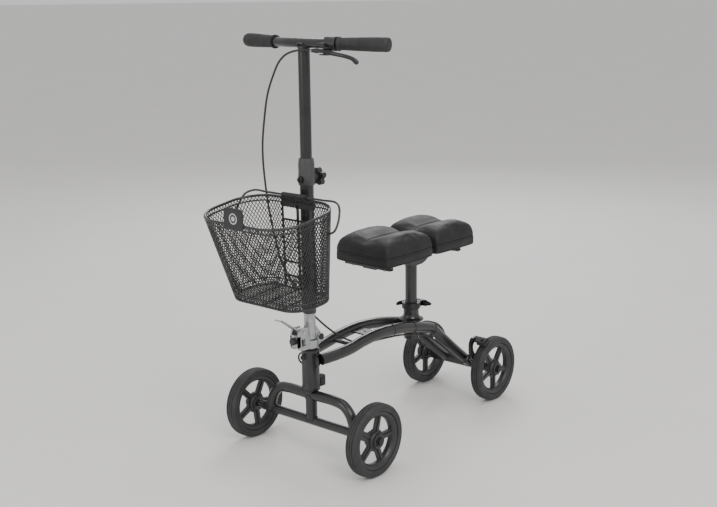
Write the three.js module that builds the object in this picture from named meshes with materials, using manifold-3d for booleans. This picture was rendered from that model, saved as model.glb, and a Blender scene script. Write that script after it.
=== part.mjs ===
// Steerable knee scooter: twin-rail frame, turning front axle, folding and telescoping tiller,
// two padded knee rests on a height-adjustable post, wire basket and one cable brake.
// Millimetres. +X is forward, +Y is the rider's left, +Z is up and the floor is z = 0.
// Everything is laid out from the steering axis, which stands on the floor at x = 0 of the
// outer group; the group is shifted so that the origin is under the middle of the scooter.

import * as THREE from "three";
import { mergeVertices } from "three/addons/utils/BufferGeometryUtils.js";
import Module from "manifold-3d";

const wasm = await Module();
wasm.setup();

// ---------------------------------------------------------------- driving dimensions

const GAP = 0.3; // air left between pieces that touch or are welded
const ROUND = 16; // sides of a large turned piece
const SMALL = 10; // sides of a bolt, pin or hole

const WHEEL = { radius: 88.9, width: 32, sides: 32, shoulder: 6, coreRadius: 70, coreHalf: 7 };
const HUB = { radius: 18, bore: 8.6, half: 17, sideGap: 1.3 };
const SPOKES = { count: 5, half: 7, windowInner: 27, windowOuter: 58 };
const AXLE_BOLT = { shank: 8, head: 12, headHeight: 6 };
const AXLE_Z = WHEEL.radius;
const WHEELBASE = 605;
const FRONT_TRACK_HALF = 200;
const REAR_TRACK_HALF = 118;

const FRONT_AXLE_R = 11;
const REAR_AXLE_R = 14;
const CROSSBAR = { radius: 12.7, z: 156 };
const COLUMN_R = 14;
const MAST = { radius: 14.3, top: 296 };

const HEAD = { radius: 21.5, bore: 17.2, bottom: 172, top: 271 };
const RAIL = { radius: 14.3, halfSpacing: 40, sides: 10, steps: 20 };
const RAIL_INNER_Y = RAIL.halfSpacing - RAIL.radius - 0.4;

const FOLD = { x: -24, z: 300, pinR: 4, cheek: 14 };
const TILLER = { radius: 16.5, bore: 14.4, bottom: 363.3, top: 733 };
const SPIGOT_TOP = 376;
const CLAMP_Z = 688;
const KNOB = { middle: 19, lobe: 3.4, lobes: 5, steps: 30, rear: -46, front: -32 };
const POST = { radius: 13.9, bottom: 592, top: 1000 };

const BAR = { radius: 11, z: 1000, halfWidth: 222, straight: 60, sweepX: -38 };
const GRIP = { length: 126, bore: 11.4, thin: 13.5, thick: 16 };
const LEVER_CLAMP = { from: 67, to: 95, radius: 16.5 };
const LEVER_PIVOT = [17, 81, 985];
const LEVER_AXIS = [0.53, 0, 0.848]; // leans forward, so that the blade swings to the grip

const SEAT = { x: -391, postR: 15.7, bore: 16.2, tubeR: 19.5, postBottom: 215, postTop: 424.4 };
const SEAT_TUBE = { bottom: 205, top: 305, flange: 33, flangeZ: 256 };
const SEAT_CLAMP = { lugX: -36, bottom: 289, top: 304, radius: 24.5 };
const BEAM = { half: 20, under: 425, top: 432.6, front: -220, rear: -540 };
const PLATE = { half: 75, bottom: 433, top: 442.6, depth: 16, front: -212, rear: -495 };
const PAD = { half: 92, bottom: 443, top: 514, edge: 12, corner: 26, front: -183, split: -384, rear: -561 };

// Rim and floor of the basket: inner back and front x, height at back and front, half width
// and corner radius.
const RIM = { back: 32, front: 234, zBack: 645, zFront: 614, half: 150, corner: 79 };
const FLOOR = { back: 27, front: 160, zBack: 427, zFront: 414, half: 120, corner: 53 };
const WALL = 2.6;
const BADGE = { x: 234.4, thick: 3, half: 31, bottom: 606, top: 654 };
const BAIL = { x: 88, z: 592, y: 161, wire: 3, crossX: 43, crossZ: 653 };

const BRAKE_PIVOT = [-552, 126];
const BRAKE_PLATE = [78, 82];
const BRAKE_ARM = [84, 92];
const SHOE_ANGLE = 62; // degrees above the floor line, seen from the rear axle

const CABLE_R = 2.5;

const REAR_END = WHEELBASE + WHEEL.radius;
const FRONT_END = BADGE.x + BADGE.thick;
const STEER_X = (REAR_END - FRONT_END) / 2;

// ---------------------------------------------------------------- looks

const LOOK = {
  frame: { color: 0x17181a, roughness: 0.35, metalness: 0.3 },
  bare: { color: 0xb9bcbf, roughness: 0.35, metalness: 0.9 },
  grey: { color: 0x3f4144, roughness: 0.5, metalness: 0.3 },
  plastic: { color: 0x1b1c1d, roughness: 0.55, metalness: 0 },
  tyre: { color: 0x242526, roughness: 0.85, metalness: 0 },
  rubber: { color: 0x1a1a1b, roughness: 0.8, metalness: 0 },
  vinyl: { color: 0x1c1c1e, roughness: 0.5, metalness: 0 },
  wire: { color: 0x121314, roughness: 0.45, metalness: 0.3 },
};

// ---------------------------------------------------------------- shape helpers

const vec = (x, y, z) => new THREE.Vector3(x, y, z);

/** Turns a closed surface the right way out, whichever way its profile was drawn. */
function facingOut(geometry) {
  const flat = geometry.index ? geometry.toNonIndexed() : geometry;
  const p = flat.attributes.position;
  const [a, b, c] = [vec(), vec(), vec()];
  let volume = 0;
  for (let i = 0; i < p.count; i += 3) {
    a.fromBufferAttribute(p, i);
    b.fromBufferAttribute(p, i + 1);
    c.fromBufferAttribute(p, i + 2);
    volume += a.dot(b.cross(c));
  }
  if (volume < 0) {
    for (let i = 0; i < p.count; i += 3) {
      b.fromBufferAttribute(p, i + 1);
      c.fromBufferAttribute(p, i + 2);
      p.setXYZ(i + 1, c.x, c.y, c.z);
      p.setXYZ(i + 2, b.x, b.y, b.z);
    }
  }
  return flat;
}

function toManifold(geometry) {
  const bare = facingOut(geometry.clone());
  bare.deleteAttribute("normal");
  bare.deleteAttribute("uv");
  const merged = mergeVertices(bare, 1e-4);
  const mesh = new wasm.Mesh({
    numProp: 3,
    vertProperties: new Float32Array(merged.attributes.position.array),
    triVerts: new Uint32Array(merged.index.array),
  });
  return new wasm.Manifold(mesh);
}

function fromManifold(solid) {
  const mesh = solid.getMesh();
  const geometry = new THREE.BufferGeometry();
  geometry.setAttribute("position", new THREE.BufferAttribute(mesh.vertProperties, 3));
  geometry.setIndex(new THREE.BufferAttribute(mesh.triVerts, 1));
  const flat = geometry.toNonIndexed();
  flat.computeVertexNormals();
  return flat;
}

const join = (...pieces) => fromManifold(pieces.map(toManifold).reduce((all, one) => all.add(one)));

const cut = (piece, ...tools) =>
  fromManifold(tools.map(toManifold).reduce((left, tool) => left.subtract(tool), toManifold(piece)));

/** A solid of revolution. The profile is [radius, distance along the axis] points. */
function turned(profile, axis = "z", sides = ROUND, start = Math.PI / sides) {
  const points = profile.map(([r, t]) => new THREE.Vector2(r, t));
  const geometry = new THREE.LatheGeometry(points, sides, start);
  if (axis === "z") geometry.rotateX(Math.PI / 2);
  if (axis === "x") geometry.rotateZ(-Math.PI / 2);
  return facingOut(geometry);
}

const rod = (radius, from, to, axis = "z", sides = ROUND) =>
  turned([[0, from], [radius, from], [radius, to], [0, to]], axis, sides);

const sleeve = (bore, radius, from, to, axis = "z", sides = ROUND) =>
  turned([[bore, from], [radius, from], [radius, to], [bore, to], [bore, from]], axis, sides);

const at = (geometry, x, y, z) => geometry.translate(x, y, z);

const box = (x0, x1, y0, y1, z0, z1) =>
  at(new THREE.BoxGeometry(x1 - x0, y1 - y0, z1 - z0), (x0 + x1) / 2, (y0 + y1) / 2, (z0 + z1) / 2);

const shapeOf = (points) => new THREE.Shape(points.map(([a, b]) => new THREE.Vector2(a, b)));

/** A plate drawn in the x-z plane and as thick as y0 to y1. */
function plateXZ(shape, y0, y1) {
  const geometry = new THREE.ExtrudeGeometry(shape, { depth: y1 - y0, bevelEnabled: false, curveSegments: 4 });
  const turn = new THREE.Matrix4().makeBasis(vec(1, 0, 0), vec(0, 0, 1), vec(0, -1, 0));
  return at(geometry.applyMatrix4(turn), 0, y1, 0);
}

/** A plate drawn in the x-y plane and as thick as z0 to z1. */
const plateXY = (shape, z0, z1) =>
  at(new THREE.ExtrudeGeometry(shape, { depth: z1 - z0, bevelEnabled: false, curveSegments: 4 }), 0, 0, z0);

/** A plate drawn in the y-z plane and as thick as x0 to x1. */
function plateYZ(shape, x0, x1) {
  const geometry = new THREE.ExtrudeGeometry(shape, { depth: x1 - x0, bevelEnabled: false, curveSegments: 4 });
  const turn = new THREE.Matrix4().makeBasis(vec(0, 1, 0), vec(0, 0, 1), vec(1, 0, 0));
  return at(geometry.applyMatrix4(turn), x0, 0, 0);
}

function circle(radius, sides) {
  const turn = (2 * Math.PI) / sides;
  return Array.from({ length: sides }, (_, i) => [
    radius * Math.cos(i * turn),
    radius * Math.sin(i * turn),
  ]);
}

/** A round bar along a smooth curve through the points. */
function bentRod(points, radius, sides, steps) {
  const path = new THREE.CatmullRomCurve3(points.map((p) => vec(...p)), false, "centripetal");
  const options = { steps, extrudePath: path, bevelEnabled: false };
  return facingOut(new THREE.ExtrudeGeometry(shapeOf(circle(radius, sides)), options));
}

/** A straight round bar between two points. */
function strut(from, to, radius, sides = 16) {
  const a = vec(...from);
  const b = vec(...to);
  const turn = new THREE.Quaternion().setFromUnitVectors(vec(0, 0, 1), b.clone().sub(a).normalize());
  const bar = rod(radius, 0, a.distanceTo(b), "z", sides);
  return at(bar.applyQuaternion(turn), a.x, a.y, a.z);
}

const mirrored = (points) => [...points].reverse().map(([x, y, z]) => [x, -y, z]);

// ---------------------------------------------------------------- scene graph

const scooter = new THREE.Group();
scooter.position.x = STEER_X;

function add(name, geometry, look, place = [0, 0, 0]) {
  const mesh = new THREE.Mesh(geometry, new THREE.MeshStandardMaterial({ ...LOOK[look] }));
  mesh.name = name;
  mesh.position.set(...place);
  scooter.add(mesh);
}

// ---------------------------------------------------------------- wheels

function tyre() {
  const { radius, width, sides, shoulder, coreRadius } = WHEEL;
  const half = width / 2;
  const flat = 1 / Math.cos(Math.PI / sides);
  const section = [
    [coreRadius + GAP, -half],
    [radius - shoulder, -half],
    [radius, -half + shoulder],
    [radius, half - shoulder],
    [radius - shoulder, half],
    [coreRadius + GAP, half],
  ];
  const profile = [...section, section[0]].map(([r, t]) => [r * flat, t]);
  return turned(profile, "y", sides);
}

/** One opening between two spokes, as a closed path in the plane of the wheel. */
function spokeWindow(middle) {
  const { count, half: spokeHalf, windowInner: inner, windowOuter: outer } = SPOKES;
  const pitchHalf = Math.PI / count;
  const wide = pitchHalf - spokeHalf / outer;
  const narrow = pitchHalf - spokeHalf / inner;
  const path = new THREE.Path();
  path.absarc(0, 0, outer, middle - wide, middle + wide, false);
  path.absarc(0, 0, inner, middle + narrow, middle - narrow, true);
  path.closePath();
  return path;
}

function wheelCore(windowAngle) {
  const { coreRadius, coreHalf, sides } = WHEEL;
  const flat = 1 / Math.cos(Math.PI / sides);
  const turn = Math.PI / sides;
  const rim = circle(coreRadius * flat, sides).map(([a, b]) => [
    a * Math.cos(turn) - b * Math.sin(turn),
    a * Math.sin(turn) + b * Math.cos(turn),
  ]);
  const shape = shapeOf(rim);
  for (let i = 0; i < SPOKES.count; i++) {
    const middle = THREE.MathUtils.degToRad(windowAngle + (i * 360) / SPOKES.count);
    shape.holes.push(spokeWindow(middle));
  }
  const options = { depth: 2 * coreHalf, bevelEnabled: false, curveSegments: 4 };
  const disc = new THREE.ExtrudeGeometry(shape, options);
  disc.translate(0, 0, -coreHalf).rotateX(Math.PI / 2);
  const hub = rod(HUB.radius, -HUB.half, HUB.half, "y", SMALL);
  const bore = rod(HUB.bore, -HUB.half - 1, HUB.half + 1, "y", SMALL);
  return cut(join(disc, hub), bore);
}

/** The bolt that a wheel turns on, from the end of the axle tube at side * (y - hub). */
function axleBolt(y, side) {
  const { shank, head, headHeight } = AXLE_BOLT;
  const inner = y - HUB.half - 1;
  const face = y + HUB.half + 0.7;
  const end = face + headHeight;
  const profile = [[0, inner], [shank, inner], [shank, face], [head, face], [head, end], [0, end]];
  const bolt = turned(profile, "y", SMALL);
  return side > 0 ? bolt : facingOut(bolt.scale(1, -1, 1));
}

// Corner, place, side of the frame and the angle of one window above the forward direction.
const WHEEL_PLACES = [
  ["front_left", 0, FRONT_TRACK_HALF, 1, 69],
  ["front_right", 0, FRONT_TRACK_HALF, -1, 9],
  ["rear_left", -WHEELBASE, REAR_TRACK_HALF, 1, 17],
  ["rear_right", -WHEELBASE, REAR_TRACK_HALF, -1, 18],
];

for (const [corner, x, y, side, windowAngle] of WHEEL_PLACES) {
  add(`tyre_${corner}`, tyre(), "tyre", [x, side * y, AXLE_Z]);
  add(`wheel_core_${corner}`, wheelCore(windowAngle), "plastic", [x, side * y, AXLE_Z]);
  add(`axle_bolt_${corner}`, axleBolt(y, side), "frame", [x, 0, AXLE_Z]);
}

// ---------------------------------------------------------------- front axle and fork

function frontFork() {
  const axleHalf = FRONT_TRACK_HALF - HUB.half - HUB.sideGap;
  const axle = (r) => at(rod(r, -axleHalf, axleHalf, "y", 16), 0, 0, AXLE_Z);
  const crossCut = at(rod(CROSSBAR.radius + GAP, -90, 90, "y", 16), 0, 0, CROSSBAR.z);
  const bend = [
    [0, 139, AXLE_Z + 2],
    [0, 135, 112],
    [0, 125, 134],
    [0, 105, 151],
    [0, 75, CROSSBAR.z],
    [0, 30, CROSSBAR.z],
  ];
  const crossbar = bentRod([...bend, ...mirrored(bend)], CROSSBAR.radius, 10, 16);
  const column = rod(COLUMN_R, AXLE_Z + 3, CROSSBAR.z - 3);
  const mast = rod(MAST.radius, CROSSBAR.z + 3, MAST.top);
  add("front_axle_tube", join(axle(FRONT_AXLE_R), cut(column, crossCut)), "frame");
  add("fork_crossbar", cut(crossbar, axle(FRONT_AXLE_R + GAP)), "frame");
  add("steering_mast", cut(mast, crossCut), "bare");
}

// ---------------------------------------------------------------- main frame

/** Centre line of one rail, from the head tube over the hump and down to the rear axle. */
function railPoints(side) {
  const line = [
    [-6, 23, 246],
    [-30, 29, 248],
    [-60, 36, 251],
    [-100, 40, 255],
    [-150, 40, 263],
    [-220, 40, 268],
    [-290, 40, 262],
    [-345, 40, 252],
    [-395, 40, 240],
    [-432, 40, 227],
    [-470, 40, 196],
    [-523, 40, 152],
    [-570, 40, 115],
    [-WHEELBASE + 3, 40, AXLE_Z + 2],
  ];
  return line.map(([x, y, z]) => [x, side * y, z]);
}

function mainFrame() {
  const headCut = rod(HEAD.radius + GAP, 150, 300);
  const axleHalf = REAR_TRACK_HALF - HUB.half - HUB.sideGap;
  const axle = (r) => at(rod(r, -axleHalf, axleHalf, "y", 16), -WHEELBASE, 0, AXLE_Z);
  for (const [name, side] of [["left", 1], ["right", -1]]) {
    const rail = bentRod(railPoints(side), RAIL.radius, RAIL.sides, RAIL.steps);
    add(`frame_rail_${name}`, cut(rail, headCut, axle(REAR_AXLE_R + GAP)), "frame");
  }
  add("rear_axle_tube", axle(REAR_AXLE_R), "frame");

  const tube = sleeve(HEAD.bore, HEAD.radius, HEAD.bottom, HEAD.top);
  const boss = at(rod(6, HEAD.radius - 3, 30, "x", SMALL), 0, 0, 256);
  add("head_tube", join(tube, boss), "frame");
  const cup = (flange, inside) => [
    [14.8, flange],
    [HEAD.radius + 1, flange],
    [HEAD.radius + 1, inside > flange ? HEAD.bottom - GAP : HEAD.top + GAP],
    [HEAD.bore - GAP, inside > flange ? HEAD.bottom - GAP : HEAD.top + GAP],
    [HEAD.bore - GAP, inside],
    [14.8, inside],
    [14.8, flange],
  ];
  add("headset_cup_lower", turned(cup(HEAD.bottom - 3, HEAD.bottom + 12)), "bare");
  add("headset_cup_upper", turned(cup(HEAD.top + 3, HEAD.top - 12)), "bare");

  const stop = shapeOf([[-16, -13], [-38, -13], [-44, -7], [-44, 7], [-38, 13], [-16, 13]]);
  add("steering_stop", cut(plateXY(stop, HEAD.bottom + 0.5, 197), rod(HEAD.radius + GAP, 160, 200)), "rubber");

  const rung = at(rod(5, -RAIL_INNER_Y, RAIL_INNER_Y, "y", SMALL), -120, 0, 258);
  add("rail_cross_tube", rung, "frame");
  const bridge = box(-222, -182, -RAIL_INNER_Y, RAIL_INNER_Y, 264, 268);
  add("rail_cross_plate", bridge, "frame");
}

// ---------------------------------------------------------------- seat post, beam and pads

function seatTube() {
  const { bore, tubeR } = SEAT;
  const { bottom, top, flange, flangeZ } = SEAT_TUBE;
  const profile = [
    [bore, bottom],
    [tubeR, bottom],
    [tubeR, flangeZ],
    [flange, flangeZ],
    [flange, flangeZ + 4],
    [tubeR + 1, flangeZ + 15],
    [tubeR + 1, top],
    [bore, top],
    [bore, bottom],
  ];
  const web = box(-30, 29, -RAIL_INNER_Y, RAIL_INNER_Y, 231, 237);
  const bracket = cut(web, rod(bore + 1, 200, 300));
  return join(turned(profile), bracket);
}

function seatClamp() {
  const { lugX, bottom, top, radius } = SEAT_CLAMP;
  const mid = (bottom + top) / 2;
  const ring = sleeve(SEAT.tubeR + 1 + GAP, radius, bottom, top);
  const lugs = box(lugX - 7, -21.5, -13, 13, bottom, top);
  const split = box(-50, -10, -1.5, 1.5, bottom - 1, top + 1);
  const hole = at(rod(3.6, -20, 20, "y", SMALL), lugX, 0, mid);
  const inner = rod(SEAT.tubeR + 1 + GAP, bottom - 1, top + 1);
  const collar = cut(join(ring, lugs), split, hole, inner);
  add("seat_clamp_collar", collar, "frame", [SEAT.x, 0, 0]);

  const nut = [[0, -17], [3, -17], [3, 13.4], [9, 13.4], [9, 20], [7, 26], [4, 37], [0, 38]];
  add("seat_clamp_bolt", turned(nut, "y", SMALL), "frame", [SEAT.x + lugX, 0, mid]);

  const blade = new THREE.Shape();
  blade.moveTo(-4, -19);
  blade.lineTo(4, -18.8);
  blade.lineTo(12, -22);
  blade.lineTo(32, -28.5);
  blade.quadraticCurveTo(46, -31.5, 58, -30);
  blade.lineTo(59, -34);
  blade.quadraticCurveTo(44, -37, 26, -34);
  blade.lineTo(-2, -33);
  blade.lineTo(-8, -28);
  blade.closePath();
  const lever = plateXY(blade, bottom + 1, top - 1);
  add("seat_clamp_lever", lever, "frame", [SEAT.x + lugX, 0, 0]);
}

function seatBeam() {
  const outline = new THREE.Shape();
  const socket = [SEAT.x - 20.5, SEAT.x + 20.5];
  outline.moveTo(BEAM.front, BEAM.top);
  outline.lineTo(BEAM.front, BEAM.under + 2);
  outline.lineTo(socket[1] + 22, BEAM.under - 2);
  outline.lineTo(socket[1], BEAM.under - 6);
  outline.lineTo(socket[1], 406);
  outline.lineTo(socket[0], 406);
  outline.quadraticCurveTo(socket[0] - 34, 410, socket[0] - 58, 424);
  outline.lineTo(BEAM.rear, BEAM.under + 3);
  outline.lineTo(BEAM.rear, BEAM.top);
  outline.closePath();
  const beam = plateXZ(outline, -BEAM.half, BEAM.half);
  return cut(beam, at(rod(SEAT.postR + GAP, 390, SEAT.postTop + GAP), SEAT.x, 0, 0));
}

/** A knee pad: rounded corners in plan, soft edges and a shallow channel along the top. */
function kneePad(front, rear) {
  const { half, bottom, top, edge, corner } = PAD;
  const section = new THREE.Shape();
  section.moveTo(-half + 5, bottom);
  section.lineTo(half - 5, bottom);
  section.lineTo(half, bottom + 8);
  section.lineTo(half, top - edge - 6);
  section.quadraticCurveTo(half, top - 4, half - 30, top);
  section.quadraticCurveTo(16, top, 0, top - 11);
  section.quadraticCurveTo(-16, top, -half + 30, top);
  section.quadraticCurveTo(-half, top - 4, -half, top - edge - 6);
  section.lineTo(-half, bottom + 8);
  section.closePath();
  const loaf = plateYZ(section, rear, front);
  const plan = new THREE.Shape();
  plan.moveTo(front - corner, -half - 1);
  plan.quadraticCurveTo(front, -half - 1, front, -half + corner);
  plan.lineTo(front, half - corner);
  plan.quadraticCurveTo(front, half + 1, front - corner, half + 1);
  plan.lineTo(rear + corner, half + 1);
  plan.quadraticCurveTo(rear, half + 1, rear, half - corner);
  plan.lineTo(rear, -half + corner);
  plan.quadraticCurveTo(rear, -half - 1, rear + corner, -half - 1);
  plan.closePath();
  const options = { depth: top - bottom + 20, bevelEnabled: false, curveSegments: 3 };
  const post = at(new THREE.ExtrudeGeometry(plan, options), 0, 0, bottom - 10);
  return fromManifold(toManifold(loaf).intersect(toManifold(post)));
}

function kneeRest() {
  add("seat_tube", seatTube(), "frame", [SEAT.x, 0, 0]);
  add("seat_post", rod(SEAT.postR, SEAT.postBottom, SEAT.postTop), "frame", [SEAT.x, 0, 0]);
  add("seat_beam", seatBeam(), "frame");
  const { half, bottom, top, depth } = PLATE;
  add("pad_plate_front", box(PLATE.front - depth, PLATE.front, -half, half, bottom, top), "frame");
  add("pad_plate_rear", box(PLATE.rear - depth, PLATE.rear, -half, half, bottom, top), "frame");
  add("knee_pad_front", kneePad(PAD.front, PAD.split + 2), "vinyl");
  add("knee_pad_rear", kneePad(PAD.split - 2, PAD.rear), "vinyl");
}

// ---------------------------------------------------------------- folding joint

function foldJoint() {
  const { x, z, pinR, cheek } = FOLD;
  // Lower half: a collar on the mast with two ears behind for the pin and two cheeks in front.
  const collar = sleeve(MAST.radius + GAP, 20, 277, 297);
  const earOutline = shapeOf([
    [-6, 279],
    [-6, 297],
    [-15, 297],
    [-17, 305],
    [x + 3, z + 9],
    [x - 8, z + 7],
    [x - 11, z],
    [x - 8, z - 9],
  ]);
  const ears = [
    plateXZ(earOutline, 9.2, cheek),
    plateXZ(earOutline, -cheek, -9.2),
  ];
  const cheekOutline = shapeOf([[10, 279], [10, 296], [15, 298], [24, 334], [46, 334], [54, 318], [54, 286]]);
  const cheeks = [
    plateXZ(cheekOutline, 9.2, cheek),
    plateXZ(cheekOutline, -cheek, -9.2),
  ];
  const bridge = box(46, 54, -cheek, cheek, 287, 318);
  const pinHole = at(rod(pinR + GAP, -30, 30, "y", SMALL), x, 0, z);
  const mastHole = rod(MAST.radius + GAP, 270, 300);
  const leverHole = at(rod(3 + GAP, -30, 30, "y", SMALL), 36, 0, 324);
  const boltHole = at(rod(4 + GAP, 30, 70, "x", SMALL), 0, 0, 304);
  const lower = join(collar, ...ears, ...cheeks, bridge);
  add("fold_bracket", cut(lower, pinHole, mastHole, leverHole, boltHole), "bare");

  const pinHead = cheek + 4;
  const pin = [
    [0, -pinHead],
    [7, -pinHead],
    [7, -cheek - GAP],
    [pinR, -cheek - GAP],
    [pinR, cheek + GAP],
    [7, cheek + GAP],
    [7, pinHead],
    [0, pinHead],
  ];
  add("fold_pin", turned(pin, "y", SMALL), "frame", [x, 0, z]);

  // Upper half: the spigot inside the tiller, with one lug behind and a hook in front.
  const spigot = rod(POST.radius, MAST.top + 2, SPIGOT_TOP);
  const lug = plateXZ(shapeOf([
    [-4, 299],
    [-4, 330],
    [-12, 330],
    [x - 6, z + 8],
    [x - 9, z],
    [x - 6, z - 8],
    [x + 8, z - 1],
  ]), -8.9, 8.9);
  const hook = plateXZ(shapeOf([[6, 300], [6, 330], [22, 330], [30, 322], [30, 306], [24, 300]]), -7, 7);
  const upper = join(spigot, lug, hook);
  const notch = at(rod(8.5 + GAP, -30, 30, "y", SMALL), 36, 0, 324);
  add("fold_spigot", cut(upper, pinHole, notch), "bare");

  // Cam lever in front, and the adjusting nut under it.
  const cam = at(rod(8, -6.5, 6.5, "y", SMALL), 36, 0, 324);
  const blade = new THREE.Shape();
  blade.moveTo(38, 317);
  blade.quadraticCurveTo(66, 338, 88, 352);
  blade.quadraticCurveTo(100, 361, 114, 366);
  blade.lineTo(113, 371);
  blade.quadraticCurveTo(96, 368, 80, 357);
  blade.quadraticCurveTo(60, 340, 34, 331);
  blade.closePath();
  const pivot = at(rod(3, -cheek - 2, cheek + 2, "y", SMALL), 36, 0, 324);
  add("fold_lever", join(cam, plateXZ(blade, -6.5, 6.5), pivot), "bare");
  const nut = [[0, 46 - 12], [4, 34], [4, 54.4], [8, 54.4], [9, 56], [9, 62], [7, 65], [0, 65]];
  add("fold_adjuster", turned(nut, "x", SMALL), "plastic", [0, 0, 304]);
}

// ---------------------------------------------------------------- tiller

function tiller() {
  const { radius, bore, bottom, top } = TILLER;
  const screwHole = at(rod(4.8, -40, 40, "x", SMALL), 0, 0, CLAMP_Z);
  add("tiller_tube", cut(sleeve(bore, radius, bottom, top), screwHole), "frame");
  const collar = turned([
    [radius + GAP, CLAMP_Z - 14],
    [radius + 3, CLAMP_Z - 14],
    [radius + 3, top - 8],
    [radius + 1.5, top + 4],
    [POST.radius + 0.5, top + 4],
    [POST.radius + 0.5, top + GAP],
    [radius + GAP, top + GAP],
    [radius + GAP, CLAMP_Z - 14],
  ]);
  add("tiller_collar", cut(collar, screwHole), "grey");

  const head = [[0, 14.4], [4, 14.4], [4, 20], [8, 20], [8.5, 22], [8.5, 26.5], [6.5, 28.8], [0, 28.8]];
  add("clamp_bolt", turned(head, "x", SMALL), "frame", [0, 0, CLAMP_Z]);

  const star = new THREE.Shape();
  for (let i = 0; i < KNOB.steps; i++) {
    const a = (i * 2 * Math.PI) / KNOB.steps;
    const r = KNOB.middle + KNOB.lobe * Math.cos(KNOB.lobes * a);
    const [y, z] = [r * Math.sin(a), r * Math.cos(a)];
    if (i) star.lineTo(y, z);
    else star.moveTo(y, z);
  }
  star.closePath();
  const shaft = rod(4, -30, -14.6, "x", SMALL);
  const boss = rod(8, KNOB.front - 1, -22, "x", SMALL);
  const knob = join(plateYZ(star, KNOB.rear, KNOB.front), boss, shaft);
  add("height_knob", knob, "plastic", [0, 0, CLAMP_Z]);

  // Basket carrier: a clamp ring with a cross plate that the basket's hanger drops over.
  const ring = sleeve(radius + GAP, radius + 4, 617, 636);
  const plate = box(20, 23, -44, 44, 620, 640);
  const neck = box(15, 21, -12, 12, 620, 634);
  const carrier = cut(join(ring, plate, neck), rod(radius + GAP, 600, 650));
  add("basket_bracket", carrier, "frame");
}

// ---------------------------------------------------------------- handlebar and brake lever

/** Centre line of the handlebar, straight in the middle and swept back towards each grip. */
const barX = (y) => {
  const out = Math.abs(y) - BAR.straight;
  if (out <= 0) return 0;
  return (BAR.sweepX * out) / (BAR.halfWidth - BAR.straight);
};

const SWEEP = Math.atan2(-BAR.sweepX, BAR.halfWidth - BAR.straight);

function grip(side) {
  const { length, bore, thin, thick } = GRIP;
  const profile = [
    [bore, 0],
    [thin + 2, 0],
    [thin, 5],
    [thick - 1, 90],
    [thick, length - 8],
    [thick - 4, length],
    [0, length],
    [0, length - 4],
    [bore, length - 4],
    [bore, 0],
  ];
  const geometry = turned(profile, "y").rotateZ(SWEEP);
  const endY = BAR.halfWidth - length * Math.cos(SWEEP);
  const placed = at(geometry, barX(endY), endY, BAR.z);
  return side > 0 ? placed : facingOut(placed.scale(1, -1, 1));
}

function handlebar() {
  const reach = BAR.halfWidth - 5;
  const ys = [-reach, -185, -150, -110, -80, -BAR.straight + 8, -30, 0];
  const half = ys.map((y) => [barX(y), y, BAR.z]);
  const points = [...half, ...mirrored(half.slice(0, -1))];
  add("handlebar", bentRod(points, BAR.radius, 10, 18), "frame");
  add("grip_left", grip(1), "rubber");
  add("grip_right", grip(-1), "rubber");
  const post = rod(POST.radius, POST.bottom, POST.top - 3);
  const saddle = at(rod(BAR.radius + GAP, -50, 50, "y", 16), 0, 0, BAR.z);
  add("handle_post", cut(post, saddle), "frame");
}

function brakeLever() {
  const { from, to, radius } = LEVER_CLAMP;
  const mid = (from + to) / 2;
  const along = (r, extra) => {
    const half = (to - from) / 2 + extra;
    return at(rod(r, -half, half, "y").rotateZ(SWEEP), barX(mid), mid, BAR.z);
  };
  const [px, py, pz] = LEVER_PIVOT;
  const body = box(2, px + 7, from + 2, to - 3, pz - 9, pz + 9);
  const mouth = box(px - 9, px + 20, py - 11, to + 9, pz - 6.6, pz + 5.6);
  const barrel = at(rod(4.5, 34, from + 4, "y", SMALL), 8, 0, 984);
  const axis = LEVER_AXIS;
  const pinAt = (d) => [px + axis[0] * d, py, pz + axis[2] * d];
  const pinHole = strut(pinAt(-16), pinAt(16), 3.4, SMALL);
  add("brake_lever_clamp", cut(join(along(radius, 0), body, barrel), along(BAR.radius + 0.9, 9), mouth, pinHole), "frame");

  const blade = bentRod(
    [
      [px, py - 2, pz],
      [px + 6, py + 12, pz - 2],
      [px + 6, py + 34, pz - 5],
      [px + 1, py + 58, pz - 9],
      [px - 6, py + 76, pz - 15],
      [px - 11, py + 84, pz - 23],
    ],
    4,
    8,
    10,
  );
  const eye = rod(7, -4.4, 4.4, "z", SMALL);
  add("brake_lever", join(blade, at(eye, px, py, pz), strut(pinAt(-9.5), pinAt(9.5), 3, SMALL)), "bare");
}

// ---------------------------------------------------------------- basket

/** Points of a rounded rectangle whose height slopes from back to front. */
function basketLoop({ back, front, zBack, zFront, half, corner }, inset = 0) {
  const perCorner = 5;
  const [x0, x1, w, r] = [back + inset, front - inset, half - inset, corner - inset];
  const centres = [
    [x1 - r, w - r, 0],
    [x0 + r, w - r, 1],
    [x0 + r, -w + r, 2],
    [x1 - r, -w + r, 3],
  ];
  const points = [];
  for (const [cx, cy, quarter] of centres) {
    for (let i = 0; i <= perCorner; i++) {
      const a = ((quarter + i / perCorner) * Math.PI) / 2;
      const x = cx + r * Math.cos(a);
      const z = zBack + ((zFront - zBack) * (x - back)) / (front - back);
      points.push([x, cy + r * Math.sin(a), z]);
    }
  }
  return points;
}

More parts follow.
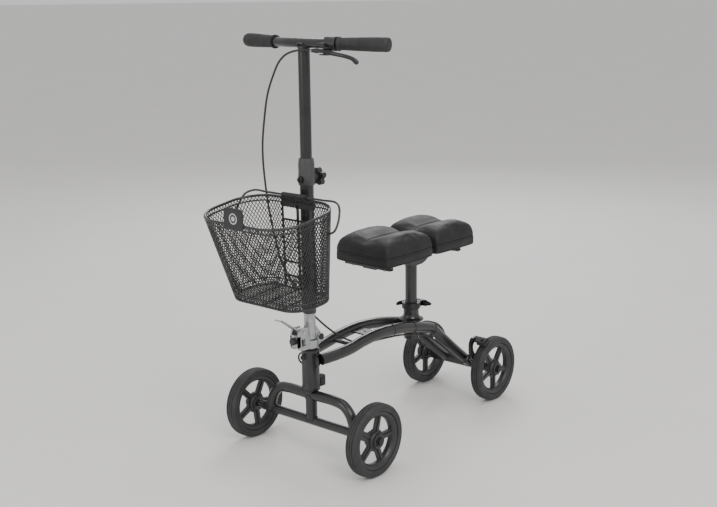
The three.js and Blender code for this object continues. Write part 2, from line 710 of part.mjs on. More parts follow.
/** A closed skin over a stack of loops with the same number of points, capped at both ends. */
function lofted(loops) {
  const n = loops[0].length;
  const corners = [];
  const push = (...points) => points.forEach((p) => corners.push(...p));
  for (let k = 0; k + 1 < loops.length; k++) {
    for (let i = 0; i < n; i++) {
      const j = (i + 1) % n;
      push(loops[k][i], loops[k][j], loops[k + 1][j]);
      push(loops[k][i], loops[k + 1][j], loops[k + 1][i]);
    }
  }
  const last = loops[loops.length - 1];
  for (let i = 1; i + 1 < n; i++) {
    push(loops[0][0], loops[0][i + 1], loops[0][i]);
    push(last[0], last[i], last[i + 1]);
  }
  const geometry = new THREE.BufferGeometry();
  geometry.setAttribute("position", new THREE.Float32BufferAttribute(corners, 3));
  geometry.computeVertexNormals();
  return facingOut(geometry);
}

function basket() {
  const raised = (loop, dz) => loop.map(([x, y, z]) => [x, y, z + dz]);
  const outer = lofted([basketLoop(FLOOR), basketLoop(RIM)]);
  const inner = lofted([
    raised(basketLoop(FLOOR, WALL), WALL),
    basketLoop(RIM, WALL),
    raised(basketLoop(RIM, WALL), 20),
  ]);
  const windows = [];
  for (const side of [1, -1]) {
    for (const [low, high] of [[595, 621], [460, 487]]) {
      const [near, far] = [side * 18, side * 46];
      windows.push(box(20, 44, Math.min(near, far), Math.max(near, far), low, high));
    }
  }
  // Two hooks on the back wall drop over the carrier's cross plate.
  const hook = shapeOf([
    [17.4, 624],
    [17.4, 644],
    [34, 644],
    [34, 626],
    [24, 626],
    [24, 640.5],
    [19.4, 640.5],
    [19.4, 624],
  ]);
  const hooks = [plateXZ(hook, 14, 40), plateXZ(hook, -40, -14)];
  add("basket", join(cut(outer, inner, ...windows), ...hooks), "wire");

  const { x, thick, half, bottom, top } = BADGE;
  const outline = new THREE.Shape();
  const r = 12;
  outline.moveTo(-half + r, bottom);
  outline.lineTo(half - r, bottom);
  outline.quadraticCurveTo(half, bottom, half, bottom + r);
  outline.lineTo(half, top - r);
  outline.quadraticCurveTo(half, top, half - r, top);
  outline.lineTo(-half + r, top);
  outline.quadraticCurveTo(-half, top, -half, top - r);
  outline.lineTo(-half, bottom + r);
  outline.quadraticCurveTo(-half, bottom, -half + r, bottom);
  add("basket_badge", plateYZ(outline, x, x + thick), "plastic");

  const leg = [
    [BAIL.x, BAIL.y - 15, BAIL.z],
    [BAIL.x, BAIL.y - 8, BAIL.z],
    [BAIL.x - 4, BAIL.y, BAIL.z + 5],
    [BAIL.x - 18, BAIL.y, BAIL.z + 25],
    [BAIL.crossX + 13, BAIL.y - 9, BAIL.crossZ - 10],
    [BAIL.crossX + 2, BAIL.y - 29, BAIL.crossZ],
    [BAIL.crossX, 90, BAIL.crossZ],
    [BAIL.crossX, 40, BAIL.crossZ],
  ];
  add("basket_bail", bentRod([...leg, ...mirrored(leg)], BAIL.wire, 6, 30), "wire");
}

// ---------------------------------------------------------------- rear brake

function rearBrake() {
  const pivot = BRAKE_PIVOT;
  const plate = new THREE.Shape();
  plate.moveTo(-WHEELBASE - 6, AXLE_Z + 18);
  plate.lineTo(-WHEELBASE + 14, AXLE_Z + 26);
  plate.lineTo(pivot[0] - 2, pivot[1] + 8);
  plate.quadraticCurveTo(pivot[0] + 8, pivot[1] + 6, pivot[0] + 8, pivot[1] - 2);
  plate.lineTo(pivot[0] + 2, pivot[1] - 9);
  plate.lineTo(-WHEELBASE + 20, AXLE_Z - 2);
  plate.lineTo(-WHEELBASE + 8, AXLE_Z - 6);
  plate.closePath();
  const axleCut = at(rod(REAR_AXLE_R + GAP, 60, 110, "y", 16), -WHEELBASE, 0, AXLE_Z);
  const pinCut = at(rod(4 + GAP, 60, 110, "y", SMALL), pivot[0], 0, pivot[1]);
  const ferrule = strut([-539, 76, 121], [-550, 76, 131], 5, SMALL);
  const bracket = cut(join(plateXZ(plate, ...BRAKE_PLATE), ferrule), axleCut, pinCut);
  add("brake_bracket", bracket, "frame");

  const arm = new THREE.Shape();
  arm.moveTo(pivot[0] - 8, pivot[1] - 4);
  arm.quadraticCurveTo(pivot[0], pivot[1] - 12, pivot[0] + 8, pivot[1] - 2);
  arm.quadraticCurveTo(pivot[0] + 21, pivot[1] + 22, pivot[0] + 15, pivot[1] + 44);
  arm.quadraticCurveTo(pivot[0] + 8, pivot[1] + 61, pivot[0] - 10, pivot[1] + 57);
  arm.lineTo(pivot[0] - 24, pivot[1] + 54);
  arm.lineTo(pivot[0] - 22, pivot[1] + 46);
  arm.quadraticCurveTo(pivot[0] + 2, pivot[1] + 50, pivot[0] + 5, pivot[1] + 38);
  arm.quadraticCurveTo(pivot[0] + 8, pivot[1] + 18, pivot[0] - 8, pivot[1] + 4);
  arm.closePath();
  const pin = at(rod(4, 75, 95, "y", SMALL), pivot[0], 0, pivot[1]);
  const tilt = THREE.MathUtils.degToRad(90 - SHOE_ANGLE);
  const shoe = box(-13, 13, 102, 129, WHEEL.radius + 3.2, WHEEL.radius + 11);
  shoe.rotateY(tilt);
  at(shoe, -WHEELBASE, 0, AXLE_Z);
  const bridge = box(-11, 11, 86, 126, WHEEL.radius + 10, WHEEL.radius + 15);
  bridge.rotateY(tilt);
  at(bridge, -WHEELBASE, 0, AXLE_Z);
  add("brake_arm", join(plateXZ(arm, ...BRAKE_ARM), pin, bridge, shoe), "frame");
}

// ---------------------------------------------------------------- brake cable

/** The cable in four lengths that meet end to end, from the lever to the rear wheel. */
const CABLE = {
  brake_cable_upper: [
    [8, 33, 984],
    [14, 14, 985],
    [20, -8, 983],
    [22, -36, 974],
    [21, -60, 956],
    [20, -80, 926],
    [20, -101, 880],
    [20, -118, 799],
    [20, -123, 754],
    [20, -122, 709],
    [20, -115, 649],
    [19, -108, 604],
    [17, -98, 556],
    [13, -90, 511],
    [8, -84, 482],
  ],
  brake_cable_middle: [
    [8, -84, 482],
    [0, -74, 450],
    [-12, -56, 415],
    [-24, -38, 380],
    [-34, -28, 352],
  ],
  brake_cable_lower: [
    [-34, -28, 352],
    [-54, -23, 329],
    [-77, -17, 306],
    [-100, -11, 286],
    [-124, -5, 269],
    [-148, 2, 255],
  ],
  brake_cable_frame: [
    [-148, 2, 255],
    [-170, 11, 247],
    [-200, 23, 246],
    [-235, 36, 248],
    [-290, 40, 243.5],
    [-345, 40, 232.5],
    [-393, 40, 219.5],
    [-422, 40, 206],
    [-452, 42, 185],
    [-490, 50, 152],
    [-512, 64, 127],
    [-526, 73, 115],
    [-537.5, 76, 119.6],
  ],
};

function shortened(points, by) {
  const list = points.map((p) => vec(...p));
  const first = list[0].clone().lerp(list[1], by / list[0].distanceTo(list[1]));
  const n = list.length - 1;
  const last = list[n].clone().lerp(list[n - 1], by / list[n].distanceTo(list[n - 1]));
  return [first, ...list.slice(1, -1), last].map((p) => p.toArray());
}

function brakeCable() {
  for (const [name, points] of Object.entries(CABLE)) {
    const steps = Math.round(points.length * 1.7);
    add(name, bentRod(shortened(points, 0.7), CABLE_R, 8, steps), "rubber");
  }
}

frontFork();
mainFrame();
seatClamp();
kneeRest();
foldJoint();
tiller();
handlebar();
brakeLever();
basket();
rearBrake();
brakeCable();

const model = new THREE.Group();
model.add(scooter);

export default model;
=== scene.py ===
import math

import bmesh
import bpy
import numpy as np
from mathutils import Matrix, Vector
from mathutils.bvhtree import BVHTree


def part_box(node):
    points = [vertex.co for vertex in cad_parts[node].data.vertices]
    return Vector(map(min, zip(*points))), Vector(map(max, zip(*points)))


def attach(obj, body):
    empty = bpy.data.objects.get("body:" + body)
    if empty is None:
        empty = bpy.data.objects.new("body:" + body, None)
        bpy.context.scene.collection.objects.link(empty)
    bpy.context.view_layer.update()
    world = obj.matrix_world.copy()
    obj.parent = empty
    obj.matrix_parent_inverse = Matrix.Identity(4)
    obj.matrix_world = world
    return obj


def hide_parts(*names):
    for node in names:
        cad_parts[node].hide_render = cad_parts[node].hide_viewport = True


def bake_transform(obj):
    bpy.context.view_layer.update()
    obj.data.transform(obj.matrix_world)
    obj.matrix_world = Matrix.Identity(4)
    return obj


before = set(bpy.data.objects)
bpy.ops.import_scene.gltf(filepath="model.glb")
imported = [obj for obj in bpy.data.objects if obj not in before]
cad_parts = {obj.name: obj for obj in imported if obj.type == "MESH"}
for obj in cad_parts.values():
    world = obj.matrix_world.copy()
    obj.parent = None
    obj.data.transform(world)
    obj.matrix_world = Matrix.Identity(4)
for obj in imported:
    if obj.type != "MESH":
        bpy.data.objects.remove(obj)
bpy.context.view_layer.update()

# Knee scooter. Shapes are written in millimetres from the steering axis on the floor, as in the
# part's own drawing, and placed in the frame with the axis that the mast gives.
MAST_LO, MAST_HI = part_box("steering_mast")
AXIS = np.array([(MAST_LO.x + MAST_HI.x) / 2, 0.0, 0.0])
WHEEL_R = 88.9
WHEELBASE = 605.0
FRONT_Y, REAR_Y = 200.0, 118.0
SEAT_X = -391.0
RAIL_R, FORK_R, FORK_Z, KNOB_Z = 14.3, 12.7, 156, 688


def row(points):
    """Millimetres from the steering axis to metres in the frame."""
    return np.asarray(points, float) * 0.001 + AXIS


# --- camera, light and floor

CAMERA_AT = (2.18195, 1.8648, 1.1421)
AZ, DOWN, ROLL = math.radians(41.14), math.radians(13.25), math.radians(-0.68)
look = Vector((-math.cos(AZ) * math.cos(DOWN), -math.sin(AZ) * math.cos(DOWN), -math.sin(DOWN)))
side = look.cross(Vector((0, 0, 1))).normalized()
top = side.cross(look)
cam_x = math.cos(ROLL) * side + math.sin(ROLL) * top
cam_y = -math.sin(ROLL) * side + math.cos(ROLL) * top
camera = bpy.data.objects.new("camera", bpy.data.cameras.new("camera"))
bpy.context.scene.collection.objects.link(camera)
camera.matrix_world = Matrix((
    (cam_x.x, cam_y.x, -look.x, CAMERA_AT[0]),
    (cam_x.y, cam_y.y, -look.y, CAMERA_AT[1]),
    (cam_x.z, cam_y.z, -look.z, CAMERA_AT[2]),
    (0, 0, 0, 1),
))
camera.data.lens, camera.data.sensor_width = 58.74, 36
camera.data.clip_end = 60
bpy.context.scene.camera = camera


def area_light(name, place, aim, size, power, tint=(1, 1, 1)):
    data = bpy.data.lights.new(name, "AREA")
    data.shape, data.size, data.energy, data.color = "DISK", size, power, tint
    lamp = bpy.data.objects.new(name, data)
    bpy.context.scene.collection.objects.link(lamp)
    lamp.location = place
    lamp.rotation_euler = (Vector(aim) - Vector(place)).to_track_quat("-Z", "Y").to_euler()


area_light("key_light", (1.4, 3.0, 2.9), (0, 0, 0.4), 2.2, 70, (1, 0.985, 0.96))
area_light("front_light", (3.4, -0.6, 1.6), (0, 0, 0.5), 2.0, 25)
area_light("rim_light", (-2.6, -1.8, 2.4), (0, 0, 0.5), 1.8, 45, (0.97, 0.985, 1))
area_light("top_light", (0, 0, 3.6), (0, 0, 0), 2.4, 20)

world = bpy.data.worlds.new("studio")
bpy.context.scene.world = world
world.use_nodes = True
world.node_tree.nodes["Background"].inputs["Color"].default_value = (0.93, 0.93, 0.94, 1)
world.node_tree.nodes["Background"].inputs["Strength"].default_value = 0.8

# --- materials


def material(name, color, rough, metal=0.0, vary=0.15, scale=60.0, bump=0.0, bump_scale=900.0,
        coat=0.0, coat_rough=0.1, stretch=(1, 1, 1), grain="NOISE", rough_vary=0.12, ior=1.5,
        dust=0.0):
    """A procedural surface: mottled colour, uneven gloss and a fine relief, all at real scale."""
    mat = bpy.data.materials.new(name)
    mat.use_nodes = True
    nodes, links = mat.node_tree.nodes, mat.node_tree.links
    shader = nodes["Principled BSDF"]
    shader.inputs["Metallic"].default_value = metal
    shader.inputs["IOR"].default_value = ior
    shader.inputs["Coat Weight"].default_value = coat
    shader.inputs["Coat Roughness"].default_value = coat_rough
    place = nodes.new("ShaderNodeTexCoord")
    mapping = nodes.new("ShaderNodeMapping")
    mapping.inputs["Scale"].default_value = stretch
    links.new(place.outputs["Object"], mapping.inputs["Vector"])

    def noise(size, detail=4.0):
        node = nodes.new("ShaderNodeTexNoise")
        node.inputs["Scale"].default_value = size
        node.inputs["Detail"].default_value = detail
        links.new(mapping.outputs["Vector"], node.inputs["Vector"])
        return node.outputs["Fac"]

    def ramp(source, low, high, start=0.3, end=0.7):
        node = nodes.new("ShaderNodeValToRGB")
        node.color_ramp.elements[0].position, node.color_ramp.elements[1].position = start, end
        node.color_ramp.elements[0].color, node.color_ramp.elements[1].color = low, high
        links.new(source, node.inputs["Fac"])
        return node.outputs["Color"]

    dark = tuple(c * (1 - vary) for c in color) + (1,)
    light = tuple(min(1, c * (1 + vary)) for c in color) + (1,)
    colour = ramp(noise(scale), dark, light)
    if dust:
        settle = nodes.new("ShaderNodeMix")
        settle.data_type = "RGBA"
        links.new(ramp(noise(14, 6), (0, 0, 0, 1), (dust, dust, dust, 1), 0.5, 0.8),
            settle.inputs[0])
        links.new(colour, settle.inputs[6])
        settle.inputs[7].default_value = (0.3, 0.29, 0.28, 1)
        colour = settle.outputs[2]
    links.new(colour, shader.inputs["Base Color"])
    lo, hi = max(0.03, rough - rough_vary), min(1, rough + rough_vary)
    links.new(ramp(noise(scale * 0.6, 6), (lo,) * 3 + (1,), (hi,) * 3 + (1,)),
        shader.inputs["Roughness"])
    if bump:
        if grain == "NOISE":
            height = noise(bump_scale, 3)
        else:
            cells = nodes.new("ShaderNodeTexVoronoi")
            cells.feature = "DISTANCE_TO_EDGE"
            cells.inputs["Scale"].default_value = bump_scale
            links.new(mapping.outputs["Vector"], cells.inputs["Vector"])
            height = cells.outputs["Distance"]
        relief = nodes.new("ShaderNodeBump")
        relief.inputs["Strength"].default_value = bump
        relief.inputs["Distance"].default_value = 0.0006
        links.new(height, relief.inputs["Height"])
        links.new(relief.outputs["Normal"], shader.inputs["Normal"])
    return mat


PAINT = material("black_powder_coat", (0.014, 0.014, 0.015), 0.3, vary=0.25, scale=24, bump=0.12,
    bump_scale=1100, coat=0.25, coat_rough=0.12, rough_vary=0.08)
STEEL = material("bright_plating", (0.56, 0.57, 0.58), 0.28, 1.0, vary=0.1, scale=40, bump=0.08,
    bump_scale=420, stretch=(1, 1, 0.15), rough_vary=0.1)
CAST = material("cast_alloy", (0.44, 0.45, 0.46), 0.42, 1.0, vary=0.12, scale=70, bump=0.25,
    bump_scale=1300, rough_vary=0.1)
DARK_STEEL = material("blackened_steel", (0.05, 0.05, 0.052), 0.4, 0.9, vary=0.2, scale=80,
    bump=0.1, bump_scale=900)
GREY = material("grey_moulding", (0.05, 0.051, 0.053), 0.45, vary=0.08, scale=90, bump=0.25,
    bump_scale=1500)
PLASTIC = material("black_moulding", (0.022, 0.022, 0.024), 0.42, vary=0.12, scale=90, bump=0.35,
    bump_scale=1700, rough_vary=0.08)
WHEEL_PLASTIC = material("wheel_moulding", (0.026, 0.026, 0.028), 0.4, vary=0.15, scale=60,
    bump=0.3, bump_scale=1500, rough_vary=0.1, dust=0.03)
TYRE = material("tyre_rubber", (0.03, 0.03, 0.032), 0.72, vary=0.2, scale=45, bump=0.4,
    bump_scale=1200, rough_vary=0.12, dust=0.08)
RUBBER = material("soft_rubber", (0.02, 0.02, 0.021), 0.66, vary=0.15, scale=80, bump=0.5,
    bump_scale=1600, rough_vary=0.1)
VINYL = material("grained_vinyl", (0.015, 0.0145, 0.015), 0.55, vary=0.2, scale=30, bump=0.55,
    bump_scale=620, grain="EDGES", rough_vary=0.1, ior=1.4)
THREAD = material("sewing_thread", (0.05, 0.05, 0.052), 0.7, vary=0.2, scale=400, bump=0.5,
    bump_scale=2600)
WIRE = material("coated_wire", (0.017, 0.017, 0.018), 0.36, vary=0.15, scale=120, bump=0.2,
    bump_scale=1500, coat=0.2)
CABLE = material("cable_housing", (0.018, 0.018, 0.019), 0.5, vary=0.12, scale=150, bump=0.2,
    bump_scale=1800)
BADGE_LIGHT = material("badge_inlay", (0.62, 0.62, 0.61), 0.35, 0.6, vary=0.06, scale=90,
    bump=0.15, bump_scale=1200)
FLOOR = material("floor_paint", (0.78, 0.765, 0.74), 0.75, vary=0.015, scale=3, bump=0.05,
    bump_scale=300, rough_vary=0.05)

# The slot name for each material; done() looks it up unless a piece names its own, and keeps it nowhere.
SLOTS = {mat.name: slot for slot, mats in (
    ("frame_paint", (PAINT, DARK_STEEL)), ("bare_metal", (STEEL, CAST, BADGE_LIGHT)),
    ("black_plastic", (PLASTIC, WHEEL_PLASTIC)), ("grey_plastic", (GREY,)), ("tyre", (TYRE,)),
    ("rubber", (RUBBER,)), ("vinyl", (VINYL, THREAD)), ("wire", (WIRE,)), ("cable", (CABLE,)),
) for mat in mats}

floor_mesh = bpy.data.meshes.new("floor")
floor_mesh.from_pydata([(-70, -70, 0), (70, -70, 0), (70, 70, 0), (-70, 70, 0)], [],
    [(0, 1, 2, 3)])
floor_mesh.materials.append(FLOOR)
floor = bpy.data.objects.new("floor", floor_mesh)
bpy.context.scene.collection.objects.link(floor)
floor.location.z = -0.0004

# --- shape tools


def curve(points, count):
    """Points evenly along a centripetal Catmull-Rom curve through the given ones."""
    p = np.asarray(points, float)
    if len(p) == 2:
        return p[0] + np.linspace(0, 1, count)[:, None] * (p[1] - p[0])
    p = np.vstack([2 * p[0] - p[1], p, 2 * p[-1] - p[-2]])
    t = np.concatenate([[0], np.cumsum(np.sqrt(np.linalg.norm(np.diff(p, axis=0), axis=1))
        + 1e-9)])
    out = []
    for i in range(1, len(p) - 2):
        s = np.linspace(t[i], t[i + 1], 24, endpoint=i == len(p) - 3)[:, None]
        mix = lambda a, b, u, v: (v - s) / (v - u) * a + (s - u) / (v - u) * b
        a1, a2, a3 = (mix(p[i + k - 1], p[i + k], t[i + k - 1], t[i + k]) for k in range(3))
        b1, b2 = mix(a1, a2, t[i - 1], t[i + 1]), mix(a2, a3, t[i], t[i + 2])
        out.append(mix(b1, b2, t[i], t[i + 1]))
    dense = np.vstack(out)
    length = np.concatenate([[0], np.cumsum(np.linalg.norm(np.diff(dense, axis=0), axis=1))])
    want = np.linspace(0, length[-1], count)
    return np.column_stack([np.interp(want, length, dense[:, k]) for k in range(3)])


def mirror(points):
    return [(x, -y, z) for x, y, z in reversed(points)]


def rounded(outline, radius, steps=4, closed=True):
    """The outline with each corner replaced by a short curve."""
    p = [np.asarray(q, float) for q in outline]
    n, out = len(p), []
    for i in range(n):
        if not closed and i in (0, n - 1):
            out.append(p[i])
            continue
        a, b, c = p[i - 1], p[i], p[(i + 1) % n]
        la, lc = np.linalg.norm(a - b), np.linalg.norm(c - b)
        if la < 1e-9 or lc < 1e-9:
            out.append(b)
            continue
        turn = np.dot((b - a) / la, (c - b) / lc)
        if turn > 0.97:
            out.append(b)
            continue
        cut = min(radius, la * 0.45, lc * 0.45)
        start, end = b + (a - b) / la * cut, b + (c - b) / lc * cut
        for k in range(steps + 1):
            t = k / steps
            out.append((1 - t) ** 2 * start + 2 * t * (1 - t) * b + t * t * end)
    return out


def arc(cx, cy, r, start, end, count):
    return [(cx + r * math.cos(a), cy + r * math.sin(a)) for a in np.linspace(start, end, count)]


def hole(cx, cy, r, end, count):
    """A circle that runs the other way round, for a hole in a plate."""
    return arc(cx, cy, r, math.tau, end, count)


class Build:
    """Collects closed shapes into one mesh."""

    def __init__(self):
        self.verts, self.faces, self.count = [], [], 0

    def add(self, verts, faces):
        self.verts.append(np.asarray(verts, float))
        self.faces += [[i + self.count for i in face] for face in faces]
        self.count += len(verts)
        return self

    def tube(self, path, radius, sides=24, closed=False, ends="flat", oval=None):
        """A round bar along a path. radius may change along it; oval is (width, height, up)."""
        path = np.asarray(path, float)
        n = len(path)
        radii = np.full(n, radius, float) if np.isscalar(radius) else np.asarray(radius, float)
        ahead = np.roll(path, -1, 0) - np.roll(path, 1, 0) if closed else np.gradient(path, axis=0)
        ahead /= np.linalg.norm(ahead, axis=1)[:, None]
        start = np.array(oval[2] if oval else (0, 0, 1), float)
        if abs(np.dot(start, ahead[0])) > 0.95:
            start = np.array((1.0, 0, 0))
        normals = [start - np.dot(start, ahead[0]) * ahead[0]]
        normals[0] /= np.linalg.norm(normals[0])
        for i in range(1, n):
            base = start if oval else normals[-1]
            turn = base - np.dot(base, ahead[i]) * ahead[i]
            normals.append(turn / np.linalg.norm(turn))
        normals = np.array(normals)
        across = np.cross(ahead, normals)
        if closed and not oval:
            last = normals[-1] - np.dot(normals[-1], ahead[0]) * ahead[0]
            twist = math.atan2(np.dot(last, across[0]), np.dot(last, normals[0]))
            for i in range(n):
                a = -twist * i / n
                u, w = normals[i].copy(), across[i].copy()
                normals[i], across[i] = u * math.cos(a) + w * math.sin(a), w * math.cos(
                    a) - u * math.sin(a)
        if not closed and ends == "round":
            r0, r1 = radii[0], radii[-1]
            caps = [(0.45, 0.9), (0.8, 0.6), (0.97, 0.2)]
            head = [path[0] - ahead[0] * r0 * d for d, _ in reversed(caps)]
            tail = [path[-1] + ahead[-1] * r1 * d for d, _ in caps]
            path = np.vstack([head, path, tail])
            radii = np.concatenate([[r0 * s for _, s in reversed(caps)], radii,
                [r1 * s for _, s in caps]])
            normals = np.vstack([[normals[0]] * 3, normals, [normals[-1]] * 3])
            across = np.vstack([[across[0]] * 3, across, [across[-1]] * 3])
            n += 6
        elif not closed and ends == "soft":
            edge = min(radii[0], radii[-1]) * 0.14
            ahead_0, ahead_1 = ahead[0], ahead[-1]
            path = np.vstack([path[0], path[0] + ahead_0 * edge, path[1:-1],
                path[-1] - ahead_1 * edge, path[-1]])
            radii = np.concatenate([[radii[0] - edge, radii[0]], radii[1:-1],
                [radii[-1], radii[-1] - edge]])
            normals = np.vstack([normals[:1], normals, normals[-1:]])
            across = np.vstack([across[:1], across, across[-1:]])
            n += 2
        angle = np.linspace(0, math.tau, sides, endpoint=False)
        w, h = (oval[0], oval[1]) if oval else (1, 1)
        rings = (path[:, None] + radii[:, None, None] * (
            h * np.cos(angle)[None, :, None] * normals[:, None]
            + w * np.sin(angle)[None, :, None] * across[:, None]))
        faces = []
        for i in range(n if closed else n - 1):
            a, b = i * sides, ((i + 1) % n) * sides
            faces += [[a + k, a + (k + 1) % sides, b + (k + 1) % sides, b + k]
                for k in range(sides)]
        if not closed:
            faces += [list(range(sides))[::-1], list(range((n - 1) * sides, n * sides))]
        return self.add(rings.reshape(-1, 3), faces)

    def lathe(self, profile, centre=(0, 0, 0), axis="z", sides=48, soft=0.0):
        """Turns (radius, distance) points about an axis. One that ends at its start is a ring."""
        ring = tuple(profile[0]) == tuple(profile[-1])
        points = rounded(profile[:-1] if ring else profile, soft, 3,
            ring) if soft else list(profile)
        if ring and soft:
            points = points + [points[0]]
        verts, index = [], []
        angle = np.linspace(0, math.tau, sides, endpoint=False)
        total = len(points) - 1 if ring else len(points)
        for r, t in points[:total]:
            if r < 1e-6:
                index.append([len(verts)] * sides)
                verts.append((0, 0, t))
            else:
                index.append(list(range(len(verts), len(verts) + sides)))
                verts += [(r * math.cos(a), r * math.sin(a), t) for a in angle]
        if ring:
            index.append(index[0])
        faces = []
        for lower, upper in zip(index, index[1:]):
            for k in range(sides):
                j = (k + 1) % sides
                face = [lower[k], lower[j], upper[j], upper[k]]
                faces.append([v for i, v in enumerate(face) if v not in face[:i]])
        v = np.asarray(verts, float)
        if axis == "x":
            v = v[:, [2, 0, 1]]
        if axis == "y":
            v = v[:, [1, 2, 0]]
        return self.add(v + np.asarray(centre, float), [f for f in faces if len(f) > 2])

    def plate(self, outline, low, high, plane="xz", holes=()):
        """A flat plate with that outline and holes, from low to high across its plane."""
        bm = bmesh.new()
        loops, edges = [], []
        for loop in (outline, *holes):
            ring = [bm.verts.new((q[0], q[1], 0)) for q in loop]
            edges += [bm.edges.new((ring[i - 1], ring[i])) for i in range(len(ring))]
            loops.append(len(ring))
        bmesh.ops.triangle_fill(bm, use_beauty=True, use_dissolve=False, edges=edges)
        bm.verts.index_update()
        flat = [(v.co.x, v.co.y) for v in bm.verts]
        skin = [[v.index for v in f.verts] for f in bm.faces]
        bm.free()
        n = len(flat)
        order = {"xz": lambda a, b, c: (a, c, b), "xy": lambda a, b, c: (a, b, c),
                 "yz": lambda a, b, c: (c, a, b)}[plane]
        verts = [order(a, b, low) for a, b in flat] + [order(a, b, high) for a, b in flat]
        faces = [f[::-1] for f in skin] + [[i + n for i in f] for f in skin]
        first = 0
        for size in loops:
            faces += [[first + i, first + (i + 1) % size, first + (i + 1) % size + n, first + i
                + n] for i in range(size)]
            first += size
        return self.add(verts, faces)

    def hexagon(self, centre, across, low, high, axis="y"):
        """A bolt head or nut with its top corners turned off."""
        r = across / math.sqrt(3)
        edge = (high - low) * 0.22
        rings = [(r, low), (r, high - edge), (r * 0.9, high), (0.001, high)]
        verts, faces = [], []
        for q, t in [(0.001, low), *rings]:
            verts += [(q * math.cos(a), q * math.sin(a), t) for a in np.arange(6) * math.pi / 3]
        for k in range(len(rings)):
            for i in range(6):
                j = (i + 1) % 6
                faces.append([k * 6 + i, k * 6 + j, k * 6 + 6 + j, k * 6 + 6 + i])
        v = np.asarray(verts, float)
        v = v[:, [2, 0, 1]] if axis == "x" else v[:, [1, 2, 0]] if axis == "y" else v
        return self.add(v + np.asarray(centre, float), faces)

    def done(self, name, body, mat, replaces=(), slot=None, bevel=0.0, segments=2, angle=38):
        mesh = bpy.data.meshes.new(name)
        mesh.from_pydata(row(np.vstack(self.verts)).tolist(), [], self.faces)
        bm = bmesh.new()
        bm.from_mesh(mesh)
        bmesh.ops.remove_doubles(bm, verts=bm.verts, dist=1e-7)
        bmesh.ops.recalc_face_normals(bm, faces=bm.faces)
        bm.to_mesh(mesh)
        bm.free()
        mesh.polygons.foreach_set("use_smooth", [True] * len(mesh.polygons))
        mesh.set_sharp_from_angle(angle=math.radians(angle))
        mesh.materials.append(mat)
        obj = bpy.data.objects.new(name, mesh)
        bpy.context.scene.collection.objects.link(obj)
        if bevel:
            mod = obj.modifiers.new("edges", "BEVEL")
            mod.width, mod.segments, mod.limit_method = bevel * 0.001, segments, "ANGLE"
            mod.angle_limit, mod.harden_normals = math.radians(40), True
            mod.use_clamp_overlap = True
        if body:
            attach(obj, body)
        slot = slot or SLOTS[mat.name]
        if replaces:
            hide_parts(*([replaces] if isinstance(replaces, str) else replaces))
        return obj


def weld(build, start, ahead, r, on, along, big, bead=2.2):
    """A weld bead where a bar of radius r from start meets a tube of radius big."""
    start, ahead = np.asarray(start, float), np.asarray(ahead, float)
    on, along = np.asarray(on, float), np.asarray(along, float)
    ahead, along = ahead / np.linalg.norm(ahead), along / np.linalg.norm(along)
    u = np.cross(ahead, (0, 0, 1.0) if abs(ahead[2]) < 0.9 else (1.0, 0, 0))
    u /= np.linalg.norm(u)
    w = np.cross(ahead, u)
    path = []
    for a in np.linspace(0, math.tau, 60, endpoint=False):
        q = start + r * (math.cos(a) * u + math.sin(a) * w) - on
        q0 = q - np.dot(q, along) * along
        d = ahead - np.dot(ahead, along) * along
        aa, bb, cc = np.dot(d, d), 2 * np.dot(q0, d), np.dot(q0, q0) - big * big
        disc = max(0.0, bb * bb - 4 * aa * cc)
        s = (-bb - math.sqrt(disc)) / (2 * aa)
        path.append(on + q + s * ahead)
    ripple = bead * (1 + 0.14 * np.sin(np.arange(60) * math.tau / 3.5))
    return build.tube(path, ripple, 8, closed=True)


# --- wheels

WHEELS = [
    ("front_left", 0.0, FRONT_Y, 1, "steering_fork", 69),
    ("front_right", 0.0, FRONT_Y, -1, "steering_fork", 9),
    ("rear_left", -WHEELBASE, REAR_Y, 1, "main_frame", 17),
    ("rear_right", -WHEELBASE, REAR_Y, -1, "main_frame", 18),
]


def spoke_window(middle):
    half = math.pi / 5
    outer = arc(0, 0, 57.5, middle - half + 0.135, middle + half - 0.135, 12)
    inner = arc(0, 0, 27, middle + half - 0.3, middle - half + 0.3, 6)
    return rounded(outer + inner, 5, 4)


